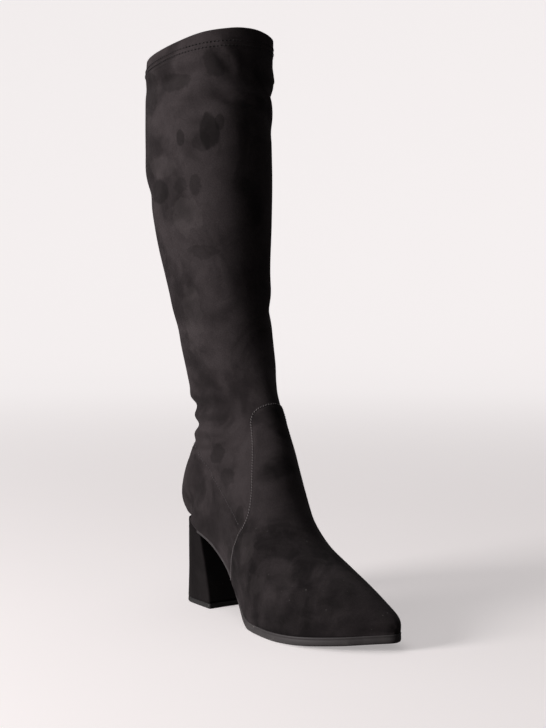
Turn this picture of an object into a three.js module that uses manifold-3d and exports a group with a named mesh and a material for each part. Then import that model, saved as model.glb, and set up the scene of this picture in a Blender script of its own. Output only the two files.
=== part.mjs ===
// A right knee-high boot in stretch suede: pointed toe, flared block heel and a zip on the inner side.
// Millimetres, +Z up, toe towards -Y, inner side of the foot towards +X.
// The origin is the centre of the heel tip's tread, on the floor.
import * as THREE from "three";
import { mergeVertices } from "three/addons/utils/BufferGeometryUtils.js";
import Module from "manifold-3d";

const wasm = await Module();
wasm.setup();

// Driving dimensions.
const LENGTH = 250; // back of the heel seat to tip of the toe, in plan
const BALL_WIDTH = 80; // across the ball of the foot, outside the upper
const HEEL_HEIGHT = 73; // floor to the upper's lower edge, at the back
const THROAT_HEIGHT = 176; // floor to the top of the vamp's tongue, in front
const COLLAR_HEIGHT = 474; // floor to the collar, at its middle
const CALF_WIDTH = 100; // breadth scale of the shaft
const HEEL_BACK = 24; // the heel seat's back is this far behind the origin
const WALL = 1.8; // suede, foam and lining together
const GAP = 0.3; // between pieces that meet
const CURVED_GAP = 0.5; // between curved pieces made of flat facets
const VAMP_THICK = 1.1;
const INSOLE_THICK = 2.6;
const LASTING_MARGIN = 9; // the upper's turned-in edge under the insole
const SOLE_LEDGE = 2; // the outsole stands this far outside the upper
const HEEL_ROUND = 27; // depth of the round back of the sole line, in plan
const TOE_ROUND = 10; // depth of the round tip of the toe, in plan
const TIP_THICK = 4.5; // the heel's rubber top piece

// The zip on the inner side: it runs straight in side view, from the collar to a place on the ankle.
const ZIP_FIRST = 13; // its lower end, as a place along the sections
const ZIP_LOW_Y = -15;
const ZIP_HIGH_Y = -20;
const CHAIN_WIDTH = 4.4;
const CHAIN_PROUD = 0.3;
const TAPE_WIDTH = 20;
const TAPE_THICK = 0.8;
const SLIT_WIDTH = 5.6;
const ZIP_TOP = 0.06; // the chain stops this share of a section below the collar

// The zip's slider and pull tab. Across, along and out of the zip are x, y and z.
const SLIDER_PLACE = 0.36; // its middle, as a share of a section below the collar
const SLIDER_WIDTH = 8.4;
const SLIDER_LENGTH = 12;
const SLIDER_LIFT = 0.8; // its underside, above the suede
const SLIDER_THICK = 1.7;
const BRIDGE_LENGTH = 6.6;
const BRIDGE_WIDTH = 1.5;
const BRIDGE_THICK = 1;
const BRIDGE_CLEAR = 2.2; // under the bridge, where the pull tab turns
const PIN_RADIUS = 0.6;
const PULL_WIDTH = 6;
const PULL_LENGTH = 19;
const PULL_THICK = 1.2;
const PULL_ARM = 5.4; // from the pin to the plate
const PULL_TILT = 6; // degrees out from the zip, at rest

// Facets.
const AROUND = 32;
const STEPS = 2;
const ZIP_STEPS = 24;
const UNDERFOOT = 1 / 4; // share of a section's lower half that lies flat under the foot
const HEEL_PLACE = 13; // the last section on the sole line

// A short table: named columns, and a row for each section.
const table = (columns, rows) =>
  rows.map((row) => Object.fromEntries(columns.map((name, i) => [name, row[i]])));

// The line where upper and sole meet. along is the distance from the heel's back in percent of LENGTH,
// rise the line's height in percent of HEEL_HEIGHT, thick the outsole's thickness in millimetres, and
// outer, inner and mid (the middle line) in percent of BALL_WIDTH.
const SOLE = table(
  ["along", "rise", "thick", "outer", "inner", "mid"],
  [
    [0, 100.0, 3.0, 33.8, 33.8, 0.0],
    [10, 91.0, 3.0, 33.0, 32.5, 0.0],
    [20, 79.5, 3.0, 32.5, 31.0, 0.0],
    [30, 60.0, 3.4, 32.5, 30.0, -1.2],
    [40, 30.0, 4.6, 35.0, 30.0, -2.5],
    [50, 11.6, 7.2, 42.5, 37.5, -3.8],
    [60, 9.8, 7.3, 48.0, 47.5, -3.8],
    [70, 10.0, 7.2, 50.0, 50.0, -1.9],
    [80, 11.9, 7.2, 44.4, 44.4, 0.6],
    [90, 15.3, 7.2, 30.2, 30.2, 8.0],
    [100, 19.2, 7.2, 10.0, 10.0, 21.0],
  ],
);

// Sections of the foot, fanned from the toe to the ankle. Each one runs from a low point on the sole
// line, or lift above it on the heel's back, to a high point on the vamp. rear and fore are distances
// from the heel's back in percent of LENGTH, lift is in percent of HEEL_HEIGHT, high in percent of
// THROAT_HEIGHT, and outer and inner in percent of BALL_WIDTH. belly is the height of the broadest
// place, swell how soon the sides reach it above the sole line (less is sooner), and under and over the
// squareness of the lower and upper halves, 2 being an ellipse.
const FOOT = table(
  ["rear", "lift", "fore", "high", "outer", "inner", "belly", "swell", "under", "over"],
  [
    [99.9, 0, 100.0, 10.4, 2.6, 2.6, 0.4, 0.7, 2.2, 2.0],
    [98.8, 0, 99.3, 13.2, 8.9, 8.9, 0.4, 0.7, 2.2, 2.0],
    [95.5, 0, 96.5, 16.4, 19.2, 19.2, 0.38, 0.7, 2.2, 2.1],
    [89.8, 0, 90.5, 21.6, 31.4, 31.4, 0.35, 0.7, 2.2, 2.1],
    [81.5, 0, 81.5, 28.2, 43.8, 43.8, 0.32, 0.7, 2.2, 2.05],
    [72.0, 0, 71.5, 35.8, 50.0, 50.0, 0.28, 0.7, 2.2, 1.95],
    [61.7, 0, 62.5, 44.7, 49.5, 48.5, 0.26, 0.7, 2.2, 1.9],
    [51.4, 0, 55.9, 56.8, 48.0, 43.0, 0.3, 0.7, 2.2, 1.9],
    [41.2, 0, 52.2, 69.0, 45.0, 40.0, 0.34, 0.7, 2.2, 1.95],
    [30.9, 0, 49.6, 78.2, 41.5, 38.0, 0.36, 0.65, 2.2, 2.0],
    [20.6, 0, 47.2, 85.2, 39.0, 37.5, 0.38, 0.55, 2.2, 2.05],
    [10.3, 0, 45.1, 91.6, 38.5, 37.5, 0.38, 0.4, 2.2, 2.1],
    [4.6, 0, 44.0, 95.2, 38.8, 38.2, 0.38, 0.38, 2.2, 2.1],
    [1.0, 0, 43.1, 98.2, 39.2, 38.7, 0.38, 0.38, 2.2, 2.1],
    [-4.8, 12, 41.4, 103.6, 39.5, 39.0, 0.42, 0.5, 3.0, 2.1],
    [-4.7, 34, 39.4, 109.4, 38.5, 38.0, 0.45, 0.5, 2.6, 2.1],
  ],
);

// Sections of the shaft, from the ankle to the collar. rear and fore are in percent of LENGTH, low and
// high in percent of COLLAR_HEIGHT, outer, inner and mid in percent of CALF_WIDTH.
const SHAFT = table(
  ["rear", "low", "fore", "high", "outer", "inner", "mid", "belly", "under", "over"],
  [
    [1.2, 25.7, 37.6, 42.6, 30.5, 30.0, 0.0, 0.48, 2.3, 2.1],
    [3.9, 29.2, 36.0, 44.4, 31.0, 30.5, 0.0, 0.5, 2.1, 2.1],
    [4.5, 33.4, 34.6, 46.4, 32.0, 31.5, -0.3, 0.5, 2.1, 2.2],
    [1.6, 38.0, 33.4, 48.7, 34.0, 33.5, -1.0, 0.5, 2.1, 2.2],
    [-0.6, 43.0, 32.6, 51.4, 35.5, 35.0, -2.0, 0.5, 2.1, 2.2],
    [-4.2, 50.8, 31.8, 56.2, 37.5, 37.0, -4.0, 0.5, 2.2, 2.3],
    [-9.4, 59.5, 31.5, 62.8, 40.5, 40.5, -5.5, 0.5, 2.2, 2.3],
    [-14.5, 68.5, 32.6, 70.6, 44.0, 44.0, -7.5, 0.5, 2.2, 2.4],
    [-17.5, 81.2, 32.9, 83.2, 46.5, 46.5, -9.5, 0.5, 2.3, 2.4],
    [-17.2, 90.5, 33.0, 93.6, 46.5, 46.5, -10.0, 0.5, 2.3, 2.4],
    [-16.4, 98.3, 33.2, 102.8, 46.0, 46.0, -10.0, 0.5, 2.3, 2.4],
  ],
);

// The heel block's outline at four levels. level is in percent of HEEL_HEIGHT; back, breast, outer and
// inner are distances from the origin in millimetres.
const HEEL = table(
  ["level", "back", "breast", "outer", "inner"],
  [
    [0, 24.0, 24.0, 26.5, 25.5],
    [35, 24.2, 17.6, 25.6, 24.6],
    [70, 24.6, 9.2, 25.2, 24.2],
    [112, 25.0, -1.0, 25.0, 24.0],
  ],
);

// The vamp panel's edge seen from the side, from the top of its tongue down to the waist, as distances
// from the origin in millimetres.
const VAMP_EDGE = table(
  ["fore", "height"],
  [
    [86, 181],
    [80, 180],
    [76, 176],
    [74, 171],
    [74, 164],
    [77, 156],
    [85, 131],
    [92, 110],
    [95, 94],
    [93, 84],
    [87, 76],
    [80, 63],
    [74, 52],
    [66, 34],
    [58, 12],
  ],
);

// A smooth curve through four values, at t between the middle two.
const through = (a, b, c, d, t) =>
  b + 0.5 * t * (c - a + t * (2 * a - 5 * b + 4 * c - d + t * (3 * (b - c) + d - a)));

// A function that blends one number of the rows around a place, where each whole number is a row.
function blendAt(rows, place) {
  const last = rows.length - 1;
  const k = Math.min(Math.max(Math.floor(place), 0), last - 1);
  const near = [k - 1, k, k + 1, k + 2].map((i) => rows[Math.min(Math.max(i, 0), last)]);
  return (read) => through(...near.map(read), place - k);
}

const plan = (along) => HEEL_BACK - (along / 100) * LENGTH;
const width = (percent) => (percent / 100) * BALL_WIDTH;

// The sole line at a distance along the boot, in percent of LENGTH.
function soleAt(along) {
  const step = SOLE[1].along - SOLE[0].along;
  const blend = blendAt(SOLE, Math.min(Math.max(along, 0), 100) / step);
  const rounding = (depth, size) =>
    Math.sqrt(1 - Math.max(0, 1 - Math.max(depth, 0) / size) ** 2);
  const ends =
    rounding(HEEL_BACK - plan(along), HEEL_ROUND) * rounding(plan(along) - plan(100), TOE_ROUND);
  const z = (blend((row) => row.rise) * HEEL_HEIGHT) / 100;
  return {
    z,
    tread: Math.max(0, z - blend((row) => row.thick)),
    outer: width(blend((row) => row.outer)) * ends,
    inner: width(blend((row) => row.inner)) * ends,
    mid: width(blend((row) => row.mid)),
  };
}

// The sections with their real sizes: the ends of each one in the YZ plane, its half breadths, and how
// much of each is left at its lower edge.
const SECTIONS = [
  ...FOOT.map((row) => {
    const line = soleAt(row.rear);
    const lift = (row.lift / 100) * HEEL_HEIGHT;
    return {
      ...row,
      rear: new THREE.Vector2(plan(row.rear), line.z + lift),
      fore: new THREE.Vector2(plan(row.fore), (row.high / 100) * THROAT_HEIGHT),
      outer: width(row.outer),
      inner: width(row.inner),
      mid: line.mid,
      outerEdge: row.lift ? 1 : line.outer / width(row.outer),
      innerEdge: row.lift ? 1 : line.inner / width(row.inner),
      flat: row.lift ? 0 : 1,
    };
  }),
  ...SHAFT.map((row) => ({
    ...row,
    rear: new THREE.Vector2(plan(row.rear), (row.low / 100) * COLLAR_HEIGHT),
    fore: new THREE.Vector2(plan(row.fore), (row.high / 100) * COLLAR_HEIGHT),
    outer: (row.outer / 100) * CALF_WIDTH,
    inner: (row.inner / 100) * CALF_WIDTH,
    mid: (row.mid / 100) * CALF_WIDTH,
    outerEdge: 1,
    innerEdge: 1,
    flat: 0,
    swell: 0.5,
  })),
];
const LAST = SECTIONS.length - 1;

// The lower half of a section: its breadth and its height as shares of the full ones, at a share of the
// way from the middle of the underside to the broadest place. On the sole it is flat underneath, with a
// crisp edge, and above the heel it is round.
function lowerHalf(share, edge, flat, swell, power) {
  const angle = (share * Math.PI) / 2;
  const climb = Math.max(0, (share - UNDERFOOT) / (1 - UNDERFOOT)) ** 1.3;
  const across = Math.min(share / UNDERFOOT, 1);
  const square = [share < UNDERFOOT ? edge * across : edge + (1 - edge) * climb ** swell, climb];
  const round = [Math.sin(angle) ** power, 1 - Math.cos(angle) ** power];
  return square.map((value, i) => flat * value + (1 - flat) * round[i]);
}

// A point of the boot's outside. place runs from 0 at the toe, each whole number being a section, and
// turn goes once round the section: 0 at the sole or back, 0.25 on the outer side, 0.5 on the vamp or
// shin and 0.75 on the inner side.
function skin(place, turn) {
  const blend = blendAt(SECTIONS, place);
  const size = (name) => blend((row) => row[name]);
  const round = turn - Math.floor(turn);
  const outerSide = round < 0.5;
  const share = 1 - Math.abs(1 - 4 * (outerSide ? round : 1 - round));
  const lower = round < 0.25 || round > 0.75;
  const belly = size("belly");
  const angle = (share * Math.PI) / 2;
  const edge = size(outerSide ? "outerEdge" : "innerEdge");
  const flat = THREE.MathUtils.clamp(size("flat"), 0, 1);
  const power = 2 / size(lower ? "under" : "over");
  const [breadth, height] = lower
    ? lowerHalf(share, edge, flat, size("swell"), power)
    : [Math.sin(angle) ** power, Math.max(Math.cos(angle), 0) ** power];
  const up = lower ? belly * height : belly + (1 - belly) * height;
  return new THREE.Vector3(
    size("mid") + breadth * (outerSide ? -size("outer") : size("inner")),
    blend((row) => row.rear.x) * (1 - up) + blend((row) => row.fore.x) * up,
    blend((row) => row.rear.y) * (1 - up) + blend((row) => row.fore.y) * up,
  );
}

// The directions at a point of the outside: up along the boot, round it, and inwards.
function frameAt(place, turn) {
  const nudge = 1e-3;
  const ahead = place + nudge > LAST ? -nudge : nudge;
  const along = skin(place + ahead, turn).sub(skin(place, turn)).multiplyScalar(Math.sign(ahead));
  const round = skin(place, turn + nudge).sub(skin(place, turn - nudge));
  const inwards = along.clone().cross(round).normalize();
  return { along: along.normalize(), round: round.normalize(), inwards };
}

// A point of the outside moved inwards by inset, or outwards where it is negative.
const under = (place, turn, inset) =>
  skin(place, turn).addScaledVector(frameAt(place, turn).inwards, inset);

// Rings of points joined into one closed surface, with a fan over each end.
function loft(rings) {
  const around = rings[0].length;
  const position = rings.flat().flatMap((p) => [p.x, p.y, p.z]);
  const index = [];
  for (let i = 0; i + 1 < rings.length; i++)
    for (let j = 0; j < around; j++) {
      const [a, b] = [i * around + j, i * around + ((j + 1) % around)];
      index.push(a, b, b + around, a, b + around, a + around);
    }
  for (const first of [0, (rings.length - 1) * around]) {
    const ring = rings[first / around];
    const centre = ring.reduce((sum, p) => sum.add(p), new THREE.Vector3());
    const middle = position.length / 3;
    position.push(...centre.divideScalar(around).toArray());
    for (let j = 0; j < around; j++) {
      const [a, b] = [first + j, first + ((j + 1) % around)];
      index.push(...(first === 0 ? [b, a, middle] : [a, b, middle]));
    }
  }
  const geometry = new THREE.BufferGeometry();
  geometry.setAttribute("position", new THREE.Float32BufferAttribute(position, 3));
  return geometry.setIndex(index);
}

// A closed geometry as a solid, turned the right way out.
function solid(geometry) {
  const bare = geometry.clone();
  bare.deleteAttribute("normal");
  bare.deleteAttribute("uv");
  const merged = mergeVertices(bare, 1e-4);
  const triVerts = new Uint32Array(merged.index.array);
  const vertProperties = merged.attributes.position.array;
  const made = new wasm.Manifold(new wasm.Mesh({ numProp: 3, vertProperties, triVerts }));
  if (made.volume() > 0) return made;
  for (let i = 0; i < triVerts.length; i += 3)
    [triVerts[i + 1], triVerts[i + 2]] = [triVerts[i + 2], triVerts[i + 1]];
  return new wasm.Manifold(new wasm.Mesh({ numProp: 3, vertProperties, triVerts }));
}

function meshOf(name, made, material) {
  const { vertProperties, triVerts } = made.getMesh();
  const geometry = new THREE.BufferGeometry();
  geometry.setAttribute("position", new THREE.BufferAttribute(vertProperties, 3));
  geometry.setIndex(new THREE.BufferAttribute(triVerts, 1));
  geometry.computeVertexNormals();
  const mesh = new THREE.Mesh(geometry, material.clone());
  mesh.name = name;
  return mesh;
}

// The places of the surface's rings, closer on the foot than on the shaft.
const SHAFT_PLACE = 16;
const RINGS = [
  ...Array.from({ length: SHAFT_PLACE * STEPS }, (_, i) => i / STEPS),
  ...Array.from({ length: LAST - SHAFT_PLACE + 1 }, (_, i) => SHAFT_PLACE + i),
];
const HEEL_RING = RINGS.indexOf(HEEL_PLACE);

// The whole boot's form, moved inwards by inset, and past the collar by extra. It starts at the section
// first, because the toe's very tip is smaller than the wall.
function form(inset, { extra = 0, first = 0 } = {}) {
  const rings = RINGS.filter((place) => place >= first).map((place) =>
    Array.from({ length: AROUND }, (_, j) => under(place, j / AROUND, inset)),
  );
  if (extra) rings.push(rings.at(-1).map((p) => p.clone().setZ(p.z + extra)));
  return solid(loft(rings));
}

// A slab along the sole line, between two heights given for each place, and two distances across.
function slab(places, low, high, left = () => -90, right = () => 90) {
  const rings = places.map((place) => {
    const end = skin(place, 0);
    const corner = (x, z) => new THREE.Vector3(x, end.y, z);
    const [l, r, a, b] = [left(place), right(place), low(end.z), high(end.z)];
    return [corner(l, a), corner(r, a), corner(r, b), corner(l, b)];
  });
  return solid(loft(rings));
}

// How far round its section the zip runs at a place, found by halving between the shin and the back.
function zipTurn(place) {
  const way = (place - ZIP_FIRST) / (LAST - ZIP_FIRST);
  const target = ZIP_LOW_Y + (ZIP_HIGH_Y - ZIP_LOW_Y) * way;
  let [front, back] = [0.5, 1];
  for (let i = 0; i < 24; i++) {
    const middle = (front + back) / 2;
    if (skin(place, middle).y < target) front = middle;
    else back = middle;
  }
  return (front + back) / 2;
}

// A strip that follows the outside along the zip, between two places and two depths under the surface,
// and past its upper end by extra.
function strip(first, last, breadth, outerDepth, innerDepth, extra = 0) {
  const rings = Array.from({ length: ZIP_STEPS + 1 }, (_, i) => {
    const place = first + ((last - first) * i) / ZIP_STEPS;
    const middle = zipTurn(place);
    const perTurn = skin(place, middle + 0.01).distanceTo(skin(place, middle - 0.01)) / 0.02;
    const half = breadth / 2 / perTurn;
    const turns = [-1, -0.5, 0, 0.5, 1].map((k) => middle + k * half);
    return [
      ...turns.map((turn) => under(place, turn, outerDepth)),
      ...turns.reverse().map((turn) => under(place, turn, innerDepth)),
    ];
  });
  if (extra) rings.push(rings.at(-1).map((p) => p.clone().setZ(p.z + extra)));
  return solid(loft(rings));
}

const suede = new THREE.MeshStandardMaterial({ color: 0x1b181a, roughness: 0.95, metalness: 0 });
const rubber = new THREE.MeshStandardMaterial({ color: 0x26252a, roughness: 0.6, metalness: 0 });
const lining = new THREE.MeshStandardMaterial({ color: 0x2b2724, roughness: 0.8, metalness: 0 });
const tape = new THREE.MeshStandardMaterial({ color: 0x111113, roughness: 0.9, metalness: 0 });
const metal = new THREE.MeshStandardMaterial({ color: 0x3a3a3c, roughness: 0.35, metalness: 1 });

const boot = new THREE.Group();

// Upper: the outside less the inside, open at the collar, along the zip, and under the foot.
const inside = form(WALL, { extra: 20, first: 1 });
const edge = UNDERFOOT / 4;
const opening = slab(
  RINGS.slice(4, HEEL_RING),
  (line) => line - 5,
  (line) => line + 5,
  (place) => Math.min(skin(place, edge).x + LASTING_MARGIN, skin(place, 0).x - 1),
  (place) => Math.max(skin(place, -edge).x - LASTING_MARGIN, skin(place, 0).x + 1),
);
const SLIT_SPARE = 4; // how far the cut reaches past both faces of the wall
const SLIT_PAST_COLLAR = 8;
const slit = strip(ZIP_FIRST, LAST, SLIT_WIDTH, -SLIT_SPARE, WALL + SLIT_SPARE, SLIT_PAST_COLLAR);
const upper = form(0).subtract(inside).subtract(opening).subtract(slit);
boot.add(meshOf("upper", upper, suede));

// Insole: lies on the upper's turned-in margin, from wall to wall.
const insoleRings = RINGS.slice(4, HEEL_RING + 1).map((place) => {
  const middle = under(place, 0, WALL + GAP);
  const pointed = Math.max(0, 5 - place) / 4;
  const clear = (WALL + 2 * GAP) * (1 + pointed);
  const left = skin(place, edge).x + clear;
  const right = skin(place, -edge).x - clear;
  const corner = (x, z) => new THREE.Vector3(x, middle.y, z);
  const [low, high] = [middle.z, middle.z + INSOLE_THICK];
  return [corner(left, low), corner(right, low), corner(right, high), corner(left, high)];
});
boot.add(meshOf("insole", solid(loft(insoleRings)), lining));

// Outsole: from the heel's breast to the toe, with a small ledge round the forefoot.
const ledge = (along) => SOLE_LEDGE * THREE.MathUtils.smoothstep(along, 30, 50);
const OUTSOLE_BEVEL = 1.2;
const TOE_TAPER = 1.6;
function outsoleSection(place, taper) {
  const end = skin(place, 0);
  const along = ((HEEL_BACK - end.y) / LENGTH) * 100;
  const line = soleAt(Math.min(along, 99.8));
  const left = line.mid - line.outer - ledge(along) + taper;
  const right = line.mid + line.inner + ledge(along) - taper;
  const top = end.z - GAP;
  const corners = [
    [left, top],
    [left, line.tread + OUTSOLE_BEVEL],
    [left + OUTSOLE_BEVEL, line.tread],
    [right - OUTSOLE_BEVEL, line.tread],
    [right, line.tread + OUTSOLE_BEVEL],
    [right, top],
  ];
  return corners.map(([x, z]) => new THREE.Vector3(x, end.y, z));
}
const toeEnd = outsoleSection(0, TOE_TAPER);
toeEnd.forEach((p) => p.setY(p.y - SOLE_LEDGE));
const soleRings = RINGS.slice(0, HEEL_RING + 1).map((place) => outsoleSection(place, 0));
// Everything behind the heel's breast.
const behindBreast = solid(
  loft(
    HEEL.map(({ level, breast }) => {
      const z = level ? (level / 100) * HEEL_HEIGHT : -5;
      const corner = (x, y) => new THREE.Vector3(x, y, z);
      const front = -breast - GAP;
      return [corner(-60, front), corner(60, front), corner(60, 90), corner(-60, 90)];
    }),
  ),
);
boot.add(meshOf("outsole", solid(loft([toeEnd, ...soleRings])).subtract(behindBreast), rubber));

// Heel: D-shaped outlines, flat at the breast and round at the back.
const HEEL_POINTS = 20;
const HEEL_CURVE = 24; // depth of the D's round end
const HEEL_CORNER = 0.64; // below 1 the round end is squarer than an ellipse
function heelOutline({ back, breast, outer, inner }, z) {
  const outline = [new THREE.Vector3(-outer, -breast, z), new THREE.Vector3(inner, -breast, z)];
  for (let i = 0; i <= HEEL_POINTS; i++) {
    const angle = (Math.PI * i) / HEEL_POINTS;
    const half = Math.cos(angle) > 0 ? inner : outer;
    const x = half * Math.sign(Math.cos(angle)) * Math.abs(Math.cos(angle)) ** HEEL_CORNER;
    const y = back - HEEL_CURVE + HEEL_CURVE * Math.max(0, Math.sin(angle)) ** HEEL_CORNER;
    outline.push(new THREE.Vector3(x, y, z));
  }
  return outline;
}
const heelForm = solid(
  loft(HEEL.map((row) => heelOutline(row, (row.level / 100) * HEEL_HEIGHT))),
);
const slice = (low, high) =>
  solid(new THREE.BoxGeometry(200, 200, high - low).translate(0, 0, (low + high) / 2));
// Everything under the heel seat.
const underSeat = slab(
  RINGS.slice(HEEL_RING - 4 * STEPS, HEEL_RING + STEPS + 1),
  () => -5,
  (line) => line - GAP,
);
const heelBlock = heelForm.intersect(underSeat).intersect(slice(TIP_THICK + GAP, 100));
boot.add(meshOf("heel_block", heelBlock, suede));
boot.add(meshOf("heel_tip", heelForm.intersect(slice(-1, TIP_THICK)), rubber));

// Vamp: a skin over the front of the upper, cut out along its edge as seen from the side.
const vampProfile = new THREE.Shape();
const edgePoints = VAMP_EDGE.map((row) => new THREE.Vector2(row.fore, row.height));
const PAST_TOE = 240;
vampProfile.moveTo(PAST_TOE, VAMP_EDGE[0].height);
vampProfile.splineThru(edgePoints);
vampProfile.lineTo(PAST_TOE, 0);
const CUT_WIDTH = 200;
const vampSide = new THREE.ExtrudeGeometry(vampProfile, {
  depth: CUT_WIDTH,
  steps: 1,
  curveSegments: 3,
  bevelEnabled: false,
});
// From the side view's own plane (fore, height, across) into the boot's (across, -fore, height).
vampSide.applyMatrix4(new THREE.Matrix4().set(0, 0, 1, -CUT_WIDTH / 2, -1, 0, 0, 0, 0, 1, 0, 0, 0, 0, 0, 1));
const overSole = slab([-1, ...RINGS.slice(0, HEEL_RING)], (line) => line + GAP, () => COLLAR_HEIGHT);
const vamp = form(-CURVED_GAP - VAMP_THICK)
  .subtract(form(-CURVED_GAP))
  .intersect(solid(vampSide))
  .intersect(overSole);
boot.add(meshOf("vamp", vamp, suede));

// Zip: the tape lies inside the upper and the chain fills the slit.
const tapeDepth = WALL + CURVED_GAP;
const zipLast = LAST - ZIP_TOP;
const tapeStrip = strip(ZIP_FIRST + 0.1, zipLast, TAPE_WIDTH, tapeDepth, tapeDepth + TAPE_THICK);
boot.add(meshOf("zip_tape", tapeStrip, tape));
const chainStrip = strip(ZIP_FIRST + 0.1, zipLast, CHAIN_WIDTH, -CHAIN_PROUD, tapeDepth - GAP);
boot.add(meshOf("zip_chain", chainStrip, tape));

// Slider: a shield-shaped plate with a bridge over it.
const sliderPlace = LAST - SLIDER_PLACE;
const atSlider = frameAt(sliderPlace, zipTurn(sliderPlace));
const across = atSlider.round;
const outwards = atSlider.inwards.clone().negate();
const upwards = outwards.clone().cross(across);
const sliderFrame = new THREE.Matrix4()
  .makeBasis(across, upwards, outwards)
  .setPosition(skin(sliderPlace, zipTurn(sliderPlace)));
const box = (wide, long, thick, x, y, z) =>
  new THREE.BoxGeometry(wide, long, thick).translate(x, y, z);
const shield = new THREE.Shape();
shield.moveTo(-0.34 * SLIDER_WIDTH, -SLIDER_LENGTH / 2);
shield.lineTo(0.34 * SLIDER_WIDTH, -SLIDER_LENGTH / 2);
shield.quadraticCurveTo(0.38 * SLIDER_WIDTH, 0, SLIDER_WIDTH / 2, 0.2 * SLIDER_LENGTH);
shield.quadraticCurveTo(0.4 * SLIDER_WIDTH, SLIDER_LENGTH / 2, 0.12 * SLIDER_WIDTH, SLIDER_LENGTH / 2);
shield.lineTo(-0.12 * SLIDER_WIDTH, SLIDER_LENGTH / 2);
shield.quadraticCurveTo(-0.4 * SLIDER_WIDTH, SLIDER_LENGTH / 2, -SLIDER_WIDTH / 2, 0.2 * SLIDER_LENGTH);
shield.quadraticCurveTo(-0.38 * SLIDER_WIDTH, 0, -0.34 * SLIDER_WIDTH, -SLIDER_LENGTH / 2);
const plate = new THREE.ExtrudeGeometry(shield, {
  depth: SLIDER_THICK,
  curveSegments: 6,
  bevelEnabled: false,
}).translate(0, 0, SLIDER_LIFT);
const plateTop = SLIDER_LIFT + SLIDER_THICK;
const bridgeTop = plateTop + BRIDGE_CLEAR + BRIDGE_THICK;
const postHeight = bridgeTop - plateTop + 0.2;
const postAt = BRIDGE_LENGTH / 2 - BRIDGE_THICK / 2;
const posts = [-postAt, postAt].map((y) =>
  solid(box(BRIDGE_WIDTH, BRIDGE_THICK, postHeight, 0, y, bridgeTop - postHeight / 2)),
);
const bar = solid(box(BRIDGE_WIDTH, BRIDGE_LENGTH, BRIDGE_THICK, 0, 0, bridgeTop - BRIDGE_THICK / 2));
const slider = solid(plate).add(bar).add(posts[0]).add(posts[1]);
const place = (made) => made.transform(sliderFrame.toArray());
boot.add(meshOf("zip_slider", place(slider), metal));

// Pull tab: a pin under the bridge, two arms beside it and a plate that hangs down the zip.
const pinHeight = plateTop + BRIDGE_CLEAR / 2;
const ARM_WIDTH = 1.2;
const pin = new THREE.CylinderGeometry(PIN_RADIUS, PIN_RADIUS, PULL_WIDTH, 16).rotateZ(Math.PI / 2);
const armX = PULL_WIDTH / 2 - ARM_WIDTH / 2;
const arms = [-armX, armX].map((x) =>
  solid(box(ARM_WIDTH, PULL_ARM + 0.5, PULL_THICK, x, -(PULL_ARM + 0.5) / 2, 0)),
);
const tab = new THREE.Shape();
const tabHalf = PULL_WIDTH / 2;
tab.moveTo(-tabHalf, -PULL_ARM);
tab.lineTo(tabHalf, -PULL_ARM);
tab.lineTo(0.8 * tabHalf, -PULL_LENGTH + tabHalf);
tab.quadraticCurveTo(0.7 * tabHalf, -PULL_LENGTH, 0, -PULL_LENGTH);
tab.quadraticCurveTo(-0.7 * tabHalf, -PULL_LENGTH, -0.8 * tabHalf, -PULL_LENGTH + tabHalf);
const tabPlate = new THREE.ExtrudeGeometry(tab, {
  depth: PULL_THICK,
  curveSegments: 6,
  bevelEnabled: false,
}).translate(0, 0, -PULL_THICK / 2);
const pull = solid(pin).add(arms[0]).add(arms[1]).add(solid(tabPlate));
const hang = new THREE.Matrix4()
  .makeRotationX((-PULL_TILT * Math.PI) / 180)
  .setPosition(0, 0, pinHeight);
boot.add(meshOf("zip_pull", place(pull.transform(hang.toArray())), metal));

export default boot;
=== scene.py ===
"""Looks of a right knee-high boot in black stretch suede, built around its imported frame.

Sizes are in millimetres until a mesh is made. +Z is up, the toe points to -Y and the inner side of the
foot to +X, as in the frame.
"""

import logging
import math
from dataclasses import dataclass, field
from enum import Enum
from typing import Iterable, Sequence, Union

import bpy
import numpy as np
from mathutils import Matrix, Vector


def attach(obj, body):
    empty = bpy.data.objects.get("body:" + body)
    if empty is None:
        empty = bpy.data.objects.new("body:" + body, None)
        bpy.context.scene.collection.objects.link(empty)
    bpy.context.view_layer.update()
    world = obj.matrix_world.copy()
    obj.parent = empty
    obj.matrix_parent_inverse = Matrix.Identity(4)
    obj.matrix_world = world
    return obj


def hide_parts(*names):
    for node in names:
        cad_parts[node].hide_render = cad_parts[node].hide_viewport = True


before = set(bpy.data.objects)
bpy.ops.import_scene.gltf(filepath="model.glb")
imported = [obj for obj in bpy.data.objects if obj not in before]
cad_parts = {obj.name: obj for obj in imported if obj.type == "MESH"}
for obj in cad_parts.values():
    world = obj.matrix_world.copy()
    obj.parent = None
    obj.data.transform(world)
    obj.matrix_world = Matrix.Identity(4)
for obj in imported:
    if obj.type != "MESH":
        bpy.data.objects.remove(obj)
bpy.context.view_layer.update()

LOG = logging.getLogger("boot")
MM = 0.001
BODY = "boot"
NUDGE = 1e-3
Array = np.ndarray
Triple = tuple[float, float, float]
Faces = list[tuple[int, ...]]
Shape = tuple[Array, Faces]
Socket = bpy.types.NodeSocket
Value = Union[Socket, float, Sequence[float]]
Setting = Union[str, bpy.types.NodeTree]


class Slot(Enum):
    """The record's material slots."""

    SUEDE = "suede"
    RUBBER = "rubber"
    LINING = "lining"
    TAPE = "tape"
    ZIP = "zip"
    METAL = "metal"


class Side(Enum):
    """The two sides of the boot, with the sign of X on each."""

    OUTER = -1
    INNER = 1


# --------------------------------------------------------------------------- form of the boot


def columns(names: str, rows: Sequence[Sequence[float]]) -> dict[str, Array]:
    """Turns rows of numbers into named columns.

    Args:
        names: The columns' names, parted by spaces.
        rows: The rows, each as long as the names.

    Returns:
        An array of values for each name.
    """
    values = np.array(rows, float).T
    return dict(zip(names.split(), values))


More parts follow.
